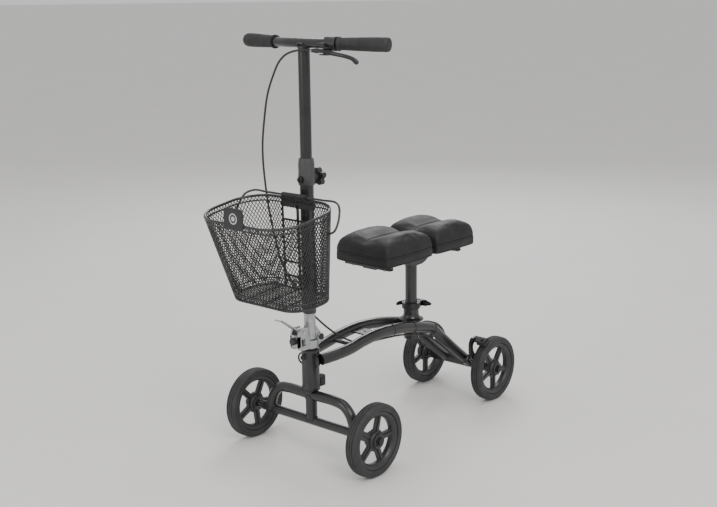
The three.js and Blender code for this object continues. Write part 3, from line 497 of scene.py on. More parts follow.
for corner, wx, wy, out, holder, window_angle in WHEELS:
    first = math.radians(window_angle)
    hub = (wx, out * wy, WHEEL_R)
    rides_on = f"wheel_{corner}"
    tread = [(70.4, -14.2), (72, -16), (78, -16), (79, -15.4), (80, -15.4), (81, -16),
        (83.2, -15.8), (86.6, -13.6), (88.3, -10.6), (88.75, -8.2), (87.1, -7.6), (87.1, -6.4),
        (88.85, -5.8), (88.9, -0.9), (87.2, -0.5), (87.2, 0.5), (88.9, 0.9), (88.85, 5.8),
        (87.1, 6.4), (87.1, 7.6), (88.75, 8.2), (88.3, 10.6), (86.6, 13.6), (83.2, 15.8), (81, 16),
        (80, 15.4), (79, 15.4), (78, 16), (72, 16), (70.4, 14.2), (70.4, -14.2)]
    Build().lathe(tread, hub, "y", 128).done(
        f"{corner}_tyre", rides_on, TYRE, f"tyre_{corner}", angle=30)

    core = Build()
    windows = [spoke_window(first + i * math.tau / 5) for i in range(5)]
    core.plate(arc(0, 0, 62, 0, math.tau * 71 / 72, 72), -4, 4, "xz", [w[::-1] for w in windows])
    for i in range(5):
        a = first + (i + 0.5) * math.tau / 5
        along, over = np.array([math.cos(a), math.sin(a)]), np.array([-math.sin(a), math.cos(a)])
        for face in (-1, 1):
            rib = [along * 17 + over * 3.4, along * 60 + over * 2.4, along * 60 - over * 2.4,
                along * 17 - over * 3.4]
            low, high = sorted((face * 3.8, face * 6.5))
            core.plate([tuple(q) for q in rib], low, high, "xz")
    core.verts = [v + np.array(hub) for v in core.verts]
    core.lathe([(57.6, -5), (61, -9), (66, -12.6), (69.6, -13.4), (69.9, -11), (69.9, 11),
        (69.6, 13.4), (66, 12.6), (61, 9), (57.6, 5), (57.6, -5)], hub, "y", 96, 1.2)
    core.lathe([(11.2, -16.8), (17.6, -16.8), (18.4, -10), (22.5, -7), (22.5, 7), (18.4, 10),
        (17.6, 16.8), (11.2, 16.8), (11.2, -16.8)], hub, "y", 64, 1.4)
    core.done(f"{corner}_wheel_core", rides_on, WHEEL_PLASTIC, f"wheel_core_{corner}", bevel=0.7,
        angle=34)
    Build().lathe([(8.5, 11), (11.1, 11), (11.1, 16.9), (10.3, 17.05), (9.7, 16.6), (8.5, 16.6),
        (8.5, 11)], hub, "y", 48).lathe([(8.5, -11), (11.1, -11), (11.1, -16.9), (10.3, -17.05),
        (9.7, -16.6), (8.5, -16.6), (8.5, -11)], hub, "y", 48).done(f"{corner}_bearings", rides_on,
        STEEL)
    bolt = Build().lathe([(0, -18), (8, -18), (8, 17.7), (11.6, 17.7), (11.9, 18.1), (11.9, 19.0),
        (11.4, 19.3), (0, 19.3)], (0, 0, 0), "y", 40)
    bolt.hexagon((0, 0, 0), 15, 19.2, 23.2).lathe([(3.4, 23.1), (3.4, 23.5), (2.9, 23.7),
        (0, 23.7)], (0, 0, 0), "y", 24)
    bolt.verts = [v * np.array([1, out, 1]) + np.array(hub) for v in bolt.verts]
    bolt.done(f"{corner}_axle_bolt", holder, DARK_STEEL, f"axle_bolt_{corner}", angle=30)

# --- front fork

AXLE_Z = WHEEL_R
HUB_HALF, WASHER = 17, 1.3
half_axle = FRONT_Y - HUB_HALF - WASHER
Build().tube(curve([(0, -half_axle, AXLE_Z), (0, half_axle, AXLE_Z)], 12), 11, 40,
    ends="soft").tube(curve([(0, 0, AXLE_Z + 3), (0, 0, 154)], 8), 14, 40).done("fork_axle_tube",
    "steering_fork", PAINT, "front_axle_tube")
bend = [(0, 139, AXLE_Z + 2), (0, 135, 112), (0, 125, 134), (0, 105, 151), (0, 75, FORK_Z),
    (0, 30, FORK_Z)]
fork_path = curve(bend + mirror(bend), 120)
Build().tube(fork_path, FORK_R, 36, ends="soft").done(
    "fork_bent_tube", "steering_fork", PAINT, "fork_crossbar")
beads = Build()
for s in (1, -1):
    weld(beads, (0, s * 136, 110), (0, s * 0.09, -1), FORK_R, (0, 0, AXLE_Z), (0, 1, 0), 11.3)
weld(beads, (0, 0, 130), (0, 0, -1), 14, (0, 0, AXLE_Z), (0, 1, 0), 11.3)
weld(beads, (0, 0, 130), (0, 0, 1), 14, (0, 0, FORK_Z), (0, 1, 0), 13)
beads.tube([(14.3 * math.cos(a), 14.3 * math.sin(a), 167.6) for a in np.linspace(0, math.tau, 48,
    False)], 1.3, 8, closed=True)
beads.done("fork_weld_beads", "steering_fork", PAINT)
Build().lathe([(0, 158), (14.3, 158), (14.3, 270), (0, 270)], sides=48).done(
    "mast_lower_part", "steering_fork", PAINT, "steering_mast")
Build().lathe([(0, 269), (14.3, 269), (14.3, 294.6), (13.2, 296), (0, 296)], sides=48).done(
    "mast_upper_part", "steering_fork", STEEL)

# --- main frame

RAIL = [(-12, 24, 246.5), (-30, 29, 248), (-60, 36, 251), (-100, 40, 255), (-150, 40, 263),
    (-220, 40, 268), (-290, 40, 262), (-345, 40, 252), (-395, 40, 240), (-432, 40, 227),
    (-470, 40, 196), (-523, 40, 152), (-570, 40, 115), (-WHEELBASE + 3, 40, AXLE_Z + 2)]
rails = {}
for word, s in (("left", 1), ("right", -1)):
    rails[s] = curve([(x, s * y, z) for x, y, z in RAIL], 160)
    Build().tube(rails[s], RAIL_R, 40).done(
        f"rail_{word}", "main_frame", PAINT, f"frame_rail_{word}")
half_rear = REAR_Y - HUB_HALF - WASHER
Build().tube(curve([(-WHEELBASE, -half_rear, AXLE_Z), (-WHEELBASE, half_rear, AXLE_Z)], 10), 14,
    40, ends="soft").done("rear_axle_bar", "main_frame", PAINT, "rear_axle_tube")
head = Build().lathe([(17.2, 172), (22.2, 172), (22.4, 173), (22.4, 179), (21.5, 180.5),
    (21.5, 262.5), (22.4, 264), (22.4, 270), (22.2, 271), (17.2, 271), (17.2, 172)], sides=64)
head.lathe([(0, 20), (6, 20), (6, 29.2), (5.2, 30), (3, 30), (3, 27), (0, 27)], (0, 0, 256), "x",
    32)
head.done("head_tube_shell", "main_frame", PAINT, "head_tube")
Build().lathe([(14.6, 169.2), (21.4, 169.2), (22.4, 170), (22.4, 171.7), (17, 171.7), (17, 183),
    (14.6, 183), (14.6, 169.2)], sides=64).done("lower_headset_cup", "main_frame", DARK_STEEL,
    "headset_cup_lower", slot="bare_metal")
Build().lathe([(14.6, 273.8), (20.6, 273.8), (22.4, 272.8), (22.4, 271.3), (17, 271.3), (17, 260),
    (14.6, 260), (14.6, 273.8)], sides=64).done("upper_headset_cup", "main_frame", DARK_STEEL,
    "headset_cup_upper", slot="bare_metal")
stop = rounded([(-20.5, -13), (-38, -13), (-44, -7), (-44, 7), (-38, 13), (-20.5, 13), (-21.8, 0)],
    4)
Build().plate(stop, 173, 196.5, "xy").done(
    "steering_bumper", "main_frame", RUBBER, "steering_stop", bevel=1.6, segments=3)

beads = Build()
for s in (1, -1):
    weld(beads, (-60, s * 34, 250.6), (1, -s * 0.24, -0.08), RAIL_R, (0, 0, 0), (0, 0, 1), 21.6)
    weld(beads, (-570, s * 40, 116), (-0.8, 0, -0.6), RAIL_R, (-WHEELBASE, 0, AXLE_Z), (0, 1, 0),
        14.3)
weld(beads, (24, 0, 256), (-1, 0, 0), 6, (0, 0, 0), (0, 0, 1), 21.6, 1.2)
beads.done("frame_weld_beads", "main_frame", PAINT)

# Half the clear width between the rails.
inner = 25.4
Build().tube(curve([(-120, -inner, 258), (-120, inner, 258)], 6), 5, 28).done(
    "thin_cross_tube", "main_frame", PAINT, "rail_cross_tube")
bridge = Build().plate(rounded([(-222, -inner - 1), (-182, -inner - 1), (-182, inner + 1),
    (-222, inner + 1)], 3), 264, 268, "xy", [hole(-202, 0, 4.2, 0.26, 24)])
bridge.done("cross_plate", "main_frame", PAINT, "rail_cross_plate", bevel=0.5)

# --- seat tube and clamp

tube = Build().lathe([(16.2, 205), (19, 205), (19.5, 205.6), (19.5, 252), (21, 256), (32, 256),
    (33, 257), (33, 259.4), (32, 260.4), (24, 264), (21, 270), (20.5, 274), (20.5, 304.4),
    (20, 305), (16.2, 305), (16.2, 205)], (SEAT_X, 0, 0), sides=64)
tube.plate([(SEAT_X - 30, -inner - 1), (SEAT_X + 29, -inner - 1), (SEAT_X + 29, inner + 1),
    (SEAT_X - 30, inner + 1)], 231, 237, "xy", [hole(SEAT_X, 0, 18, 0.2, 32)])
tube.done("seat_tube_shell", "main_frame", PAINT, "seat_tube", bevel=0.5)

LUG_X = SEAT_X - 36
collar = Build()
ring = arc(0, 0, 24.6, math.pi - 0.07, -math.pi + 0.07, 64) + arc(0, 0, 20.9, -math.pi + 0.09,
    math.pi - 0.09, 64)
collar.plate([(SEAT_X + a, b) for a, b in ring], 289, 304, "xy")
for s in (1, -1):
    low, high = sorted((s * 1.6, s * 13))
    collar.plate(rounded([(LUG_X - 7, 289), (SEAT_X - 21.6, 289), (SEAT_X - 21.6, 304),
        (LUG_X - 7, 304)], 4), low, high, "xz", [hole(LUG_X, 296.5, 3.7, 0.4, 16)])
collar.done("seat_clamp_band", "main_frame", DARK_STEEL, "seat_clamp_collar", bevel=0.7)
bolt = Build().lathe([(0, -17), (3, -17), (3, 13.3), (7.8, 13.4), (8.8, 14.4), (8.8, 20),
    (7.4, 24), (6.2, 27), (4.6, 35), (3.6, 37.6), (0, 38)], (LUG_X, 0, 296.5), "y", 40, 0.5)
bolt.done("seat_clamp_nut", "main_frame", DARK_STEEL, "seat_clamp_bolt")
blade = Build()
path = curve([(LUG_X + 2, -23.6, 296.5), (LUG_X + 16, -27.6, 296.5), (LUG_X + 32, -31.6, 296.5),
    (LUG_X + 46, -33.4, 297), (LUG_X + 57, -32.2, 297.5)], 40)
blade.tube(path, np.interp(np.arange(40), [0, 8, 30, 39], [2.4, 2.3, 1.9, 1.6]), 20, ends="round",
    oval=(2.9, 1.0, (0, 1, 0)))
blade.lathe([(0, -6.2), (6.2, -6.2), (6.9, -5.4), (6.9, 5.4), (6.2, 6.2), (0, 6.2)],
    (LUG_X, -26.2, 296.5), "z", 32)
blade.done("seat_clamp_handle", "seat_clamp", DARK_STEEL, "seat_clamp_lever")

# --- seat post, beam and plates

Build().lathe([(0, 216), (14.6, 215), (15.7, 216.2), (15.7, 424), (0, 424)], (SEAT_X, 0, 0),
    sides=56).done("seat_post_tube", "knee_rest", PAINT, "seat_post")
front, rear = -220, -540
PLATE_DEPTH = 16
under = [(front, 432.6), (front, 427), (SEAT_X + 43, 423.5), (SEAT_X + 24, 420),
    (SEAT_X + 20.5, 407), (SEAT_X - 20.5, 407), (SEAT_X - 34, 411), (SEAT_X - 48, 419),
    (SEAT_X - 62, 424.6), (rear, 428), (rear, 432.6)]
beam = Build().plate(rounded(under, 5), -20, 20, "xz")
beam.done("knee_rest_beam", "knee_rest", PAINT, "seat_beam", bevel=1.6, segments=3)
beads = Build()
beads.tube([(SEAT_X + 16.6 * math.cos(a), 16.6 * math.sin(a), 406.8)
    for a in np.linspace(0, math.tau, 60, False)], 1.9, 8, closed=True)
beads.done("knee_rest_weld", "knee_rest", PAINT)
for word, x1 in (("front", -212), ("rear", -495)):
    x0 = x1 - PLATE_DEPTH
    plate = Build().plate(rounded([(x0, -75), (x1, -75), (x1, 75), (x0, 75)], 3), 433, 437.4, "xy")
    for s in (1, -1):
        low, high = sorted((s * 70.8, s * 75))
        plate.plate(rounded([(x0 + 3, 433), (x1 - 3, 433), (x1 - 3, 442.4), (x0 + 3, 442.4)], 2),
            low, high, "xz")
    plate.done(f"pad_carrier_{word}", "knee_rest", PAINT, f"pad_plate_{word}", bevel=0.8)
    screws = Build()
    for s in (1, -1):
        mid = (x0 + x1) / 2
        screws.lathe([(0, 429.6), (3.6, 429.6), (5.2, 430.6), (5.6, 432), (5.6, 433.2),
            (0, 433.2)], (mid, s * 52, 0), sides=28)
        screws.lathe([(0, 442), (5.4, 442), (5.4, 437.2), (0, 437.2)], (mid, s * 52, 0), sides=28)
    screws.done(f"pad_screws_{word}", "knee_rest", STEEL)

# --- knee pads


PIPING_Z, STITCH_Z, VOXEL, SWELL_CAP = 469, 474.5, 0.005, 0.0035


def swell(obj, cap, rest_z):
    """Lets the cover of a pad blow out a little, held flat where it rests on its board."""
    remesh = obj.modifiers.new("even", "REMESH")
    remesh.mode, remesh.voxel_size = "VOXEL", VOXEL
    graph = bpy.context.evaluated_depsgraph_get()
    even = bpy.data.meshes.new_from_object(obj.evaluated_get(graph))
    obj.modifiers.clear()
    obj.data = even
    held = obj.vertex_groups.new(name="held")
    held.add([v.index for v in even.vertices if v.co.z < rest_z], 1.0, "REPLACE")
    start = np.array([v.co for v in even.vertices])
    cloth = obj.modifiers.new("cover", "CLOTH")
    cloth.settings.vertex_group_mass = "held"
    cloth.settings.use_pressure = True
    cloth.settings.uniform_pressure_force = 4
    cloth.settings.effector_weights.gravity = 0
    cloth.settings.tension_stiffness = cloth.settings.compression_stiffness = 18
    cloth.collision_settings.use_collision = False
    scene = bpy.context.scene
    for step in range(1, 21):
        scene.frame_set(step)
    graph = bpy.context.evaluated_depsgraph_get()
    blown = np.array([v.co for v in obj.evaluated_get(graph).data.vertices])
    obj.modifiers.clear()
    move = blown - start
    size = np.linalg.norm(move, axis=1)[:, None]
    move *= np.minimum(1, cap / np.maximum(size, 1e-9))
    even.vertices.foreach_set("co", (start + move).ravel())
    scene.frame_set(1)
    finer = obj.modifiers.new("finer", "SUBSURF")
    finer.levels = finer.render_levels = 2
    graph = bpy.context.evaluated_depsgraph_get()
    obj.data = bpy.data.meshes.new_from_object(obj.evaluated_get(graph))
    obj.modifiers.clear()
    obj.vertex_groups.clear()
    return obj


def knee_pad(word, x_rear, x_front):
    mid, half_x, half_y = (x_rear + x_front) / 2, (x_front - x_rear) / 2 - 2.5, 89.5
    n = 48
    verts, faces = [], []
    steps = np.sin(np.linspace(-1, 1, n) * math.pi / 2)
    for layer in (1, 0):
        for u in steps:
            for v in steps:
                x = mid + half_x * u * math.sqrt(1 - 0.1 * v ** 4)
                y = half_y * v * math.sqrt(1 - 0.1 * u ** 4)
                rim = (max(0, 1 - abs(u) ** 18) * max(0, 1 - abs(v) ** 18)) ** 0.4
                lobes = 1 - 0.75 * math.exp(-((v / 0.28) ** 2)) - 0.5 * max(0,
                    (abs(v) - 0.6) / 0.4) ** 2
                crown = max(0, 1 - abs(u) ** 2.4) ** 0.7
                z = 470 + (27 + 15.5 * lobes * crown) * rim if layer else 446 - 2.0 * rim
                verts.append((x, y, z))
    for i in range(n - 1):
        for j in range(n - 1):
            a = i * n + j
            faces.append([a, a + 1, a + n + 1, a + n])
            b = a + n * n
            faces.append([b, b + n, b + n + 1, b + 1])
    edge = list(range(n)) + [i * n + n - 1 for i in range(1, n)]
    edge += [(n - 1) * n + j for j in range(n - 2, -1, -1)] + [i * n for i in range(n - 2, 0, -1)]
    for a, b in zip(edge, edge[1:] + edge[:1]):
        faces.append([a, a + n * n, b + n * n, b])
    name = f"knee_pad_cover_{word}"
    pad = Build().add(verts, faces).done(name, None, VINYL)
    swell(pad, SWELL_CAP, 0.4475)
    mesh = pad.data
    co = np.array([v.co for v in mesh.vertices])
    mm = (co - AXIS) * 1000
    x, y, z = mm.T
    # The sewn channel between the lobes, and the seam where the top panel meets the side band.
    inside = np.clip(1 - np.abs(x - mid) / (half_x - 14), 0, 1) ** 0.4
    upper = np.clip((z - 474) / 6, 0, 1)
    z = z - 3.2 * np.exp(-((y / 3.6) ** 2)) * inside * upper
    pull = 1.6 * np.exp(-(((z - PIPING_Z) / 3.0) ** 2))
    reach = np.hypot((x - mid) / half_x, y / half_y)
    outward = np.clip((reach - 0.85) * 8, 0, 1)
    x = x - np.sign(x - mid) * pull * outward * np.clip(np.abs(x - mid) / half_x, 0, 1) ** 4
    y = y - np.sign(y) * pull * outward * np.clip(np.abs(y) / half_y, 0, 1) ** 4
    z = np.maximum(z, 443.2)
    co = np.column_stack([x, y, z]) * 0.001 + AXIS
    mesh.vertices.foreach_set("co", co.ravel())
    mesh.update()
    mesh.polygons.foreach_set("use_smooth", [True] * len(mesh.polygons))
    mesh.materials.clear()
    mesh.materials.append(VINYL)
    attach(pad, "knee_rest")
    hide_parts(f"knee_pad_{word}")

    # Piping and stitches follow the cover, found by looking inwards at it from all round.
    tree = BVHTree.FromPolygons([tuple(p) for p in mm_of(mesh)],
        [tuple(f.vertices) for f in mesh.polygons])

    def round_at(height, proud, count=220):
        path = []
        for a in np.linspace(0, math.tau, count, endpoint=False):
            c, s = math.cos(a), math.sin(a)
            k = 1 / max(abs(c) / half_x, abs(s) / half_y)
            target = Vector((mid + c * k * 0.55, s * k * 0.55, height))
            ahead = Vector((c * k, s * k, 0)).normalized()
            hit = tree.ray_cast(target + ahead * 300, -ahead)[0]
            path.append(np.array(hit + ahead * proud if hit else target))
        path = np.array(path)
        for _ in range(2):
            path = (np.roll(path, 1, 0) + 2 * path + np.roll(path, -1, 0)) / 4
        return path

    piping = Build().tube(round_at(PIPING_Z, 0.7), 1.9, 10, closed=True)
    piping.tube(round_at(447.5, 0.2), 1.5, 8, closed=True)
    piping.done(f"pad_piping_{word}", "knee_rest", VINYL)
    stitches = Build()
    path = round_at(STITCH_Z, 0.25, 660)
    for i in range(0, 656, 6):
        stitches.tube(path[i:i + 4], 0.45, 6, ends="round")
    channel = []
    for px in np.linspace(mid - half_x + 16, mid + half_x - 16, 24):
        hit = tree.ray_cast(Vector((px, 0.01, 560)), Vector((0, 0, -1)))[0]
        channel.append((px, 0, hit.z + 0.2))
    channel = curve(channel, 132)
    for i in range(0, 128, 5):
        stitches.tube(channel[i:i + 4], 0.5, 6, ends="round")
    stitches.done(f"pad_stitching_{word}", "knee_rest", THREAD)


def mm_of(mesh):
    return (np.array([v.co for v in mesh.vertices]) - AXIS) * 1000


knee_pad("front", -382, -183)
knee_pad("rear", -561, -386)

# --- folding joint

# The fold's hinge pin.
FX, FZ = -24.0, 300.0
lower = Build()
lower.lathe([(14.7, 277.4), (19.2, 277), (20, 278), (20, 296), (19.2, 297), (14.7, 297),
    (14.7, 277.4)], sides=64)
ear = rounded([(-8, 279), (-8, 296.6), (-15, 297), (-17, 305), (FX + 3, FZ + 9), (FX - 7, FZ + 8),
    (FX - 11, FZ + 1), (FX - 9, FZ - 8), (FX, FZ - 14)], 4)
cheek = rounded([(10, 279), (10, 296), (15, 298), (24, 334), (46, 334), (54, 320), (54, 284),
    (40, 279)], 4)
for s in (1, -1):
    low, high = sorted((s * 9.3, s * 14))
    lower.plate(ear, low, high, "xz", [hole(FX, FZ, 4.4, 0.35, 18)])
    lower.plate(cheek, low, high, "xz", [hole(36, 324, 3.4, 0.35, 18),
        rounded([(30, 290), (44, 290), (44, 308), (32, 308)], 3)[::-1]])
lower.plate(rounded([(-14, 287), (14, 287), (14, 318), (-14, 318)], 2), 47, 54, "yz",
    [hole(0, 304, 4.4, 0.35, 18)])
lower.done("fold_bracket_casting", "steering_fork", CAST, "fold_bracket", bevel=0.9)
pin = Build().lathe([(0, -18), (5.6, -18), (7, -17), (7, -14.4), (4, -14.4), (4, 14.4), (7, 14.4),
    (7, 17), (5.6, 18), (0, 18)], (FX, 0, FZ), "y", 36)
pin.done("fold_hinge_pin", "steering_fork", DARK_STEEL, "fold_pin")
upper = Build().lathe([(0, 298), (13, 298), (13.9, 299), (13.9, 376), (0, 376)], sides=56)
upper.plate(rounded([(-4, 299), (-4, 330), (-12, 330), (FX - 6, FZ + 8), (FX - 9, FZ),
    (FX - 6, FZ - 8), (FX + 8, FZ - 1)], 3), -8.8, 8.8, "xz", [hole(FX, FZ, 4.35, 0.35, 18)])
notch = arc(36, 324, 8.9, 4.15, 2.35, 12)
upper.plate([(6, 300), (6, 330), (25, 330)] + [q for q in notch if q[0] < 30][::-1] + [(24, 302)],
    -7, 7, "xz")
upper.done("fold_spigot_casting", "tiller", CAST, "fold_spigot", bevel=0.8)
lever = Build().lathe([(0, -6.5), (7.4, -6.5), (8, -5.8), (8, 5.8), (7.4, 6.5), (0, 6.5)],
    (36, 0, 324), "y", 36)
lever.lathe([(0, -16.4), (2.4, -16.4), (3, -15.6), (3, 15.6), (2.4, 16.4), (0, 16.4)],
    (36, 0, 324), "y", 24)
path = curve([(38, 0, 325), (52, 0, 333), (70, 0, 345), (86, 0, 356.5), (100, 0, 365),
    (113, 0, 369)], 50)
lever.tube(path, np.interp(np.arange(50), [0, 10, 36, 49], [5.4, 4.0, 3.0, 2.5]), 24, ends="round",
    oval=(1.95, 0.85, (0, 0, 1)))
lever.done("fold_lever_handle", "fold_latch", STEEL, "fold_lever")
knurl = Build()
points = []
for k in range(72):
    r = 8.8 + (0.35 if k % 4 < 2 else -0.25)
    points.append((r * math.cos(k * math.pi / 36), 304 + r * math.sin(k * math.pi / 36)))
knurl.plate(points, 56, 62.4, "yz")
knurl.lathe([(0, 34.2), (4, 34.2), (4, 54.6), (8, 54.6), (8, 56.4), (0, 56.4)], (0, 0, 304), "x",
    32)
knurl.lathe([(0, 62), (8, 62), (7, 64.6), (0, 65)], (0, 0, 304), "x", 32)
knurl.done("fold_adjusting_nut", "steering_fork", PLASTIC, "fold_adjuster", bevel=0.3)

# --- tiller

Build().lathe([(14.4, 363.3), (16, 363.3), (16.5, 363.9), (16.5, 732.4), (16, 733), (14.4, 733),
    (14.4, 363.3)], sides=64).done("tiller_column", "tiller", PAINT, "tiller_tube")
Build().lathe([(16.9, 674), (19, 674), (19.6, 675), (19.6, 700), (19.2, 702), (19.2, 722),
    (18.6, 728), (17.6, 736.4), (17, 737), (14.5, 737), (14.5, 733.5), (16.9, 733.5), (16.9, 674)],
    sides=64).done("tiller_top_collar", "tiller", GREY, "tiller_collar")
head = Build().hexagon((0, 0, KNOB_Z), 13, 19.8, 26.2, "x")
head.lathe([(0, 14.6), (4, 14.6), (4, 18.9), (8.4, 18.9), (8.6, 19.2), (8.6, 19.9), (0, 19.9)],
    (0, 0, KNOB_Z), "x", 36)
head.lathe([(0, 26), (4, 26), (4, 28), (3.2, 28.8), (0, 28.8)], (0, 0, KNOB_Z), "x", 28)
head.done("clamp_bolt_head", "tiller", DARK_STEEL, "clamp_bolt", angle=30)
star = []
for k in range(120):
    a = k * math.pi / 60
    r = 19.1 + 3.3 * math.cos(5 * a) - 0.4 * math.cos(10 * a)
    star.append((r * math.sin(a), KNOB_Z + r * math.cos(a)))
knob = Build().plate(star, -46, -32.4, "yz")
knob.lathe([(0, -47.2), (4.6, -47), (6.2, -46.6), (6.8, -45.6), (6.8, -40), (0, -40)],
    (0, 0, KNOB_Z), "x", 40)
knob.lathe([(0, -33), (8.4, -33), (8, -23), (7.4, -22), (0, -22)], (0, 0, KNOB_Z), "x", 40)
knob.lathe([(0, -24), (4, -24), (4, -14.8), (0, -14.8)], (0, 0, KNOB_Z), "x", 24)
knob.done("star_knob", "knob", PLASTIC, "height_knob", bevel=1.8, segments=4, angle=40)
carrier = Build().lathe([(16.9, 617), (20, 617), (20.5, 617.6), (20.5, 635.4), (20, 636),
    (16.9, 636), (16.9, 617)], sides=56)
carrier.plate(rounded([(-44, 620), (44, 620), (44, 640), (-44, 640)], 3), 20.2, 23, "yz",
    [hole(s * 32, 630, 2.6, 0.3, 16) for s in (1, -1)])
carrier.lathe([(0, 22.8), (3.6, 22.8), (3.6, 24.2), (2.6, 25.2), (0, 25.2)], (0, 0, 628), "x", 24)
carrier.done("basket_carrier", "tiller", PAINT, "basket_bracket", bevel=0.5)

# --- handlebar, grips and brake lever

BAR_Z, BAR_HALF, BAR_STRAIGHT, BAR_BACK = 1000.0, 222, 60, 38
BAR_RUN = BAR_HALF - BAR_STRAIGHT
GRIP_LENGTH = 126
SWEEP = math.atan2(BAR_BACK, BAR_RUN)


def bar_x(y):
    return -BAR_BACK * max(0, abs(y) - BAR_STRAIGHT) / BAR_RUN


def on_bar(build, side=1, about_y=0.0):
    """Turns shapes made along the y axis into line with one swept half of the bar."""
    c, s = math.cos(SWEEP), math.sin(SWEEP)
    turn = np.array([[c, -s, 0], [s, c, 0], [0, 0, 1]])
    place = np.array([bar_x(about_y), about_y, BAR_Z])
    build.verts = [(v @ turn.T + place) * np.array([1, side, 1]) for v in build.verts]
    return build


half_bar = [(bar_x(y), y, BAR_Z) for y in (-217, -185, -150, -110, -80, -52, -30, 0)]
Build().tube(curve(half_bar + mirror(half_bar[:-1]), 140), 11, 40, ends="soft").done(
    "handlebar_tube", "handles", PAINT, "handlebar")
Build().lathe([(0, 592), (13.2, 592), (13.9, 592.8), (13.9, 994), (0, 994)], sides=56).done(
    "handlebar_stem", "handles", PAINT, "handle_post")
beads = Build()
weld(beads, (0, 0, 950), (0, 0, 1), 13.9, (0, 0, BAR_Z), (0, 1, 0), 11.4, 2.0)
beads.done("handlebar_weld", "handles", PAINT)
end_y = BAR_HALF - GRIP_LENGTH * math.cos(SWEEP)
grip_profile = [(11.4, 0), (15.6, 0), (16.2, 0.8), (16.2, 3), (15.4, 4.2), (13.8, 6)]
for k in range(25):
    y = 10 + k * 3.9
    r = 13.7 + 2.1 * min(1, k / 20)
    grip_profile += [(r, y), (r + 0.35, y + 0.5), (r + 0.35, y + 2.1), (r, y + 2.6)]
grip_profile += [(15.8, 110), (16.2, 112), (16.2, 120), (15, 124.4), (12, GRIP_LENGTH),
    (0, GRIP_LENGTH), (0, 122), (11.4, 122), (11.4, 0)]
for word, s in (("left", 1), ("right", -1)):
    on_bar(Build().lathe(grip_profile, (0, 0, 0), "y", 64), s, end_y).done(
        f"hand_grip_{word}", "handles", RUBBER, f"grip_{word}", angle=50)

# The brake lever's pivot.
LX, LY, LZ = 17, 81, 985
clamp = Build().lathe([(11.3, -14), (15.8, -14), (16.5, -13.2), (16.5, 13.2), (15.8, 14),
    (11.3, 14), (11.3, -14)], (0, 0, 0), "y", 56)
on_bar(clamp, 1, LY)
clamp.plate(rounded([(4, LZ + 5.8), (LX + 7, LZ + 5.8), (LX + 7, LZ + 9), (2, LZ + 9.6)], 1.5), 69,
    92, "xz")
clamp.plate(rounded([(4, LZ - 9.4), (LX + 7, LZ - 9.4), (LX + 7, LZ - 6.6), (4, LZ - 6.6)], 1.2),
    69, 92, "xz")
clamp.plate(rounded([(0, LZ - 9.4), (7.6, LZ - 9.4), (7.6, LZ + 9), (0, LZ + 9)], 1.5), 67.5, 84,
    "xz")
clamp.lathe([(0, 34), (3.4, 34), (4.4, 34.8), (4.4, 42), (5.4, 43), (5.4, 52), (4.4, 53),
    (4.4, 70), (0, 70)], (8, 0, 984), "y", 32)
clamp.lathe([(0, LZ + 8.8), (4.4, LZ + 8.8), (4.4, LZ + 11.2), (3.4, LZ + 12), (0, LZ + 12)],
    (LX + 5, LY, 0), sides=28)
clamp.hexagon((4, LY - 2, BAR_Z), 6, 13.6, 18.4, "x")
clamp.done("lever_clamp", "handles", PLASTIC, "brake_lever_clamp", slot="frame_paint", bevel=0.6)
blade = Build()
path = curve([(LX, LY - 2, LZ), (LX + 6, LY + 12, LZ - 2), (LX + 6, LY + 34, LZ - 5),
    (LX + 1, LY + 58, LZ - 9), (LX - 6, LY + 76, LZ - 15), (LX - 11, LY + 84, LZ - 23)], 60)
blade.tube(path, np.interp(np.arange(60), [0, 8, 40, 52, 56, 59], [4.4, 4.2, 3.6, 3.8, 4.6, 4.2]),
    24, ends="round", oval=(0.85, 1.25, (0, 0, 1)))
blade.lathe([(0, -4.6), (6.4, -4.6), (7, -4), (7, 4), (6.4, 4.6), (0, 4.6)], (LX, LY, LZ), "z", 32)
blade.done("brake_lever_blade", "hand_lever", DARK_STEEL, "brake_lever", slot="bare_metal")

# --- wire basket

RIM = dict(back=32, front=234, z_back=645, z_front=614, half=150, corner=79)
BASE = dict(back=27, front=160, z_back=427, z_front=414, half=120, corner=53)
LENGTHS = [RIM["half"] - RIM["corner"], RIM["corner"] * math.pi / 2,
    RIM["front"] - RIM["back"] - 2 * RIM["corner"], RIM["corner"] * math.pi / 2,
    2 * (RIM["half"] - RIM["corner"])]
LENGTHS += LENGTHS[3::-1]
BREAKS = np.concatenate([[0], np.cumsum(LENGTHS)]) / sum(LENGTHS)


def around(loop, u, grow=0.0):
    """A point on a rounded rectangle, a share u of the way round from the middle of the back."""
    u %= 1.0
    k = min(int(np.searchsorted(BREAKS, u, side="right")) - 1, 8)
    t = (u - BREAKS[k]) / (BREAKS[k + 1] - BREAKS[k])
    x0, x1, w, r = loop["back"] - grow, loop["front"] + grow, loop["half"] + grow, loop[
        "corner"] + grow
    quarter = math.pi / 2
    if k in (0, 8):
        x, y = x0, (w - r) * (t if k == 0 else t - 1)
    elif k in (1, 3, 5, 7):
        cx = x0 + r if k in (1, 7) else x1 - r
        cy = w - r if k < 4 else r - w
        a = {1: math.pi, 3: quarter, 5: 0, 7: -quarter}[k] - t * quarter
        x, y = cx + r * math.cos(a), cy + r * math.sin(a)
    elif k == 4:
        x, y = x1, (w - r) * (1 - 2 * t)
    else:
        s = t if k == 2 else 1 - t
        x, y = x0 + r + s * (x1 - x0 - 2 * r), w if k == 2 else -w
    share = (x - loop["back"]) / (loop["front"] - loop["back"])
    return np.array([x, y, loop["z_back"] + share * (loop["z_front"] - loop["z_back"])])


def wall(u, v, grow=0.0):
    return (1 - v) * around(BASE, u, grow) + v * around(RIM, u, grow)


def level(v, count=160, grow=0.0):
    return [wall(u, v, grow) for u in np.linspace(0, 1, count, endpoint=False)]


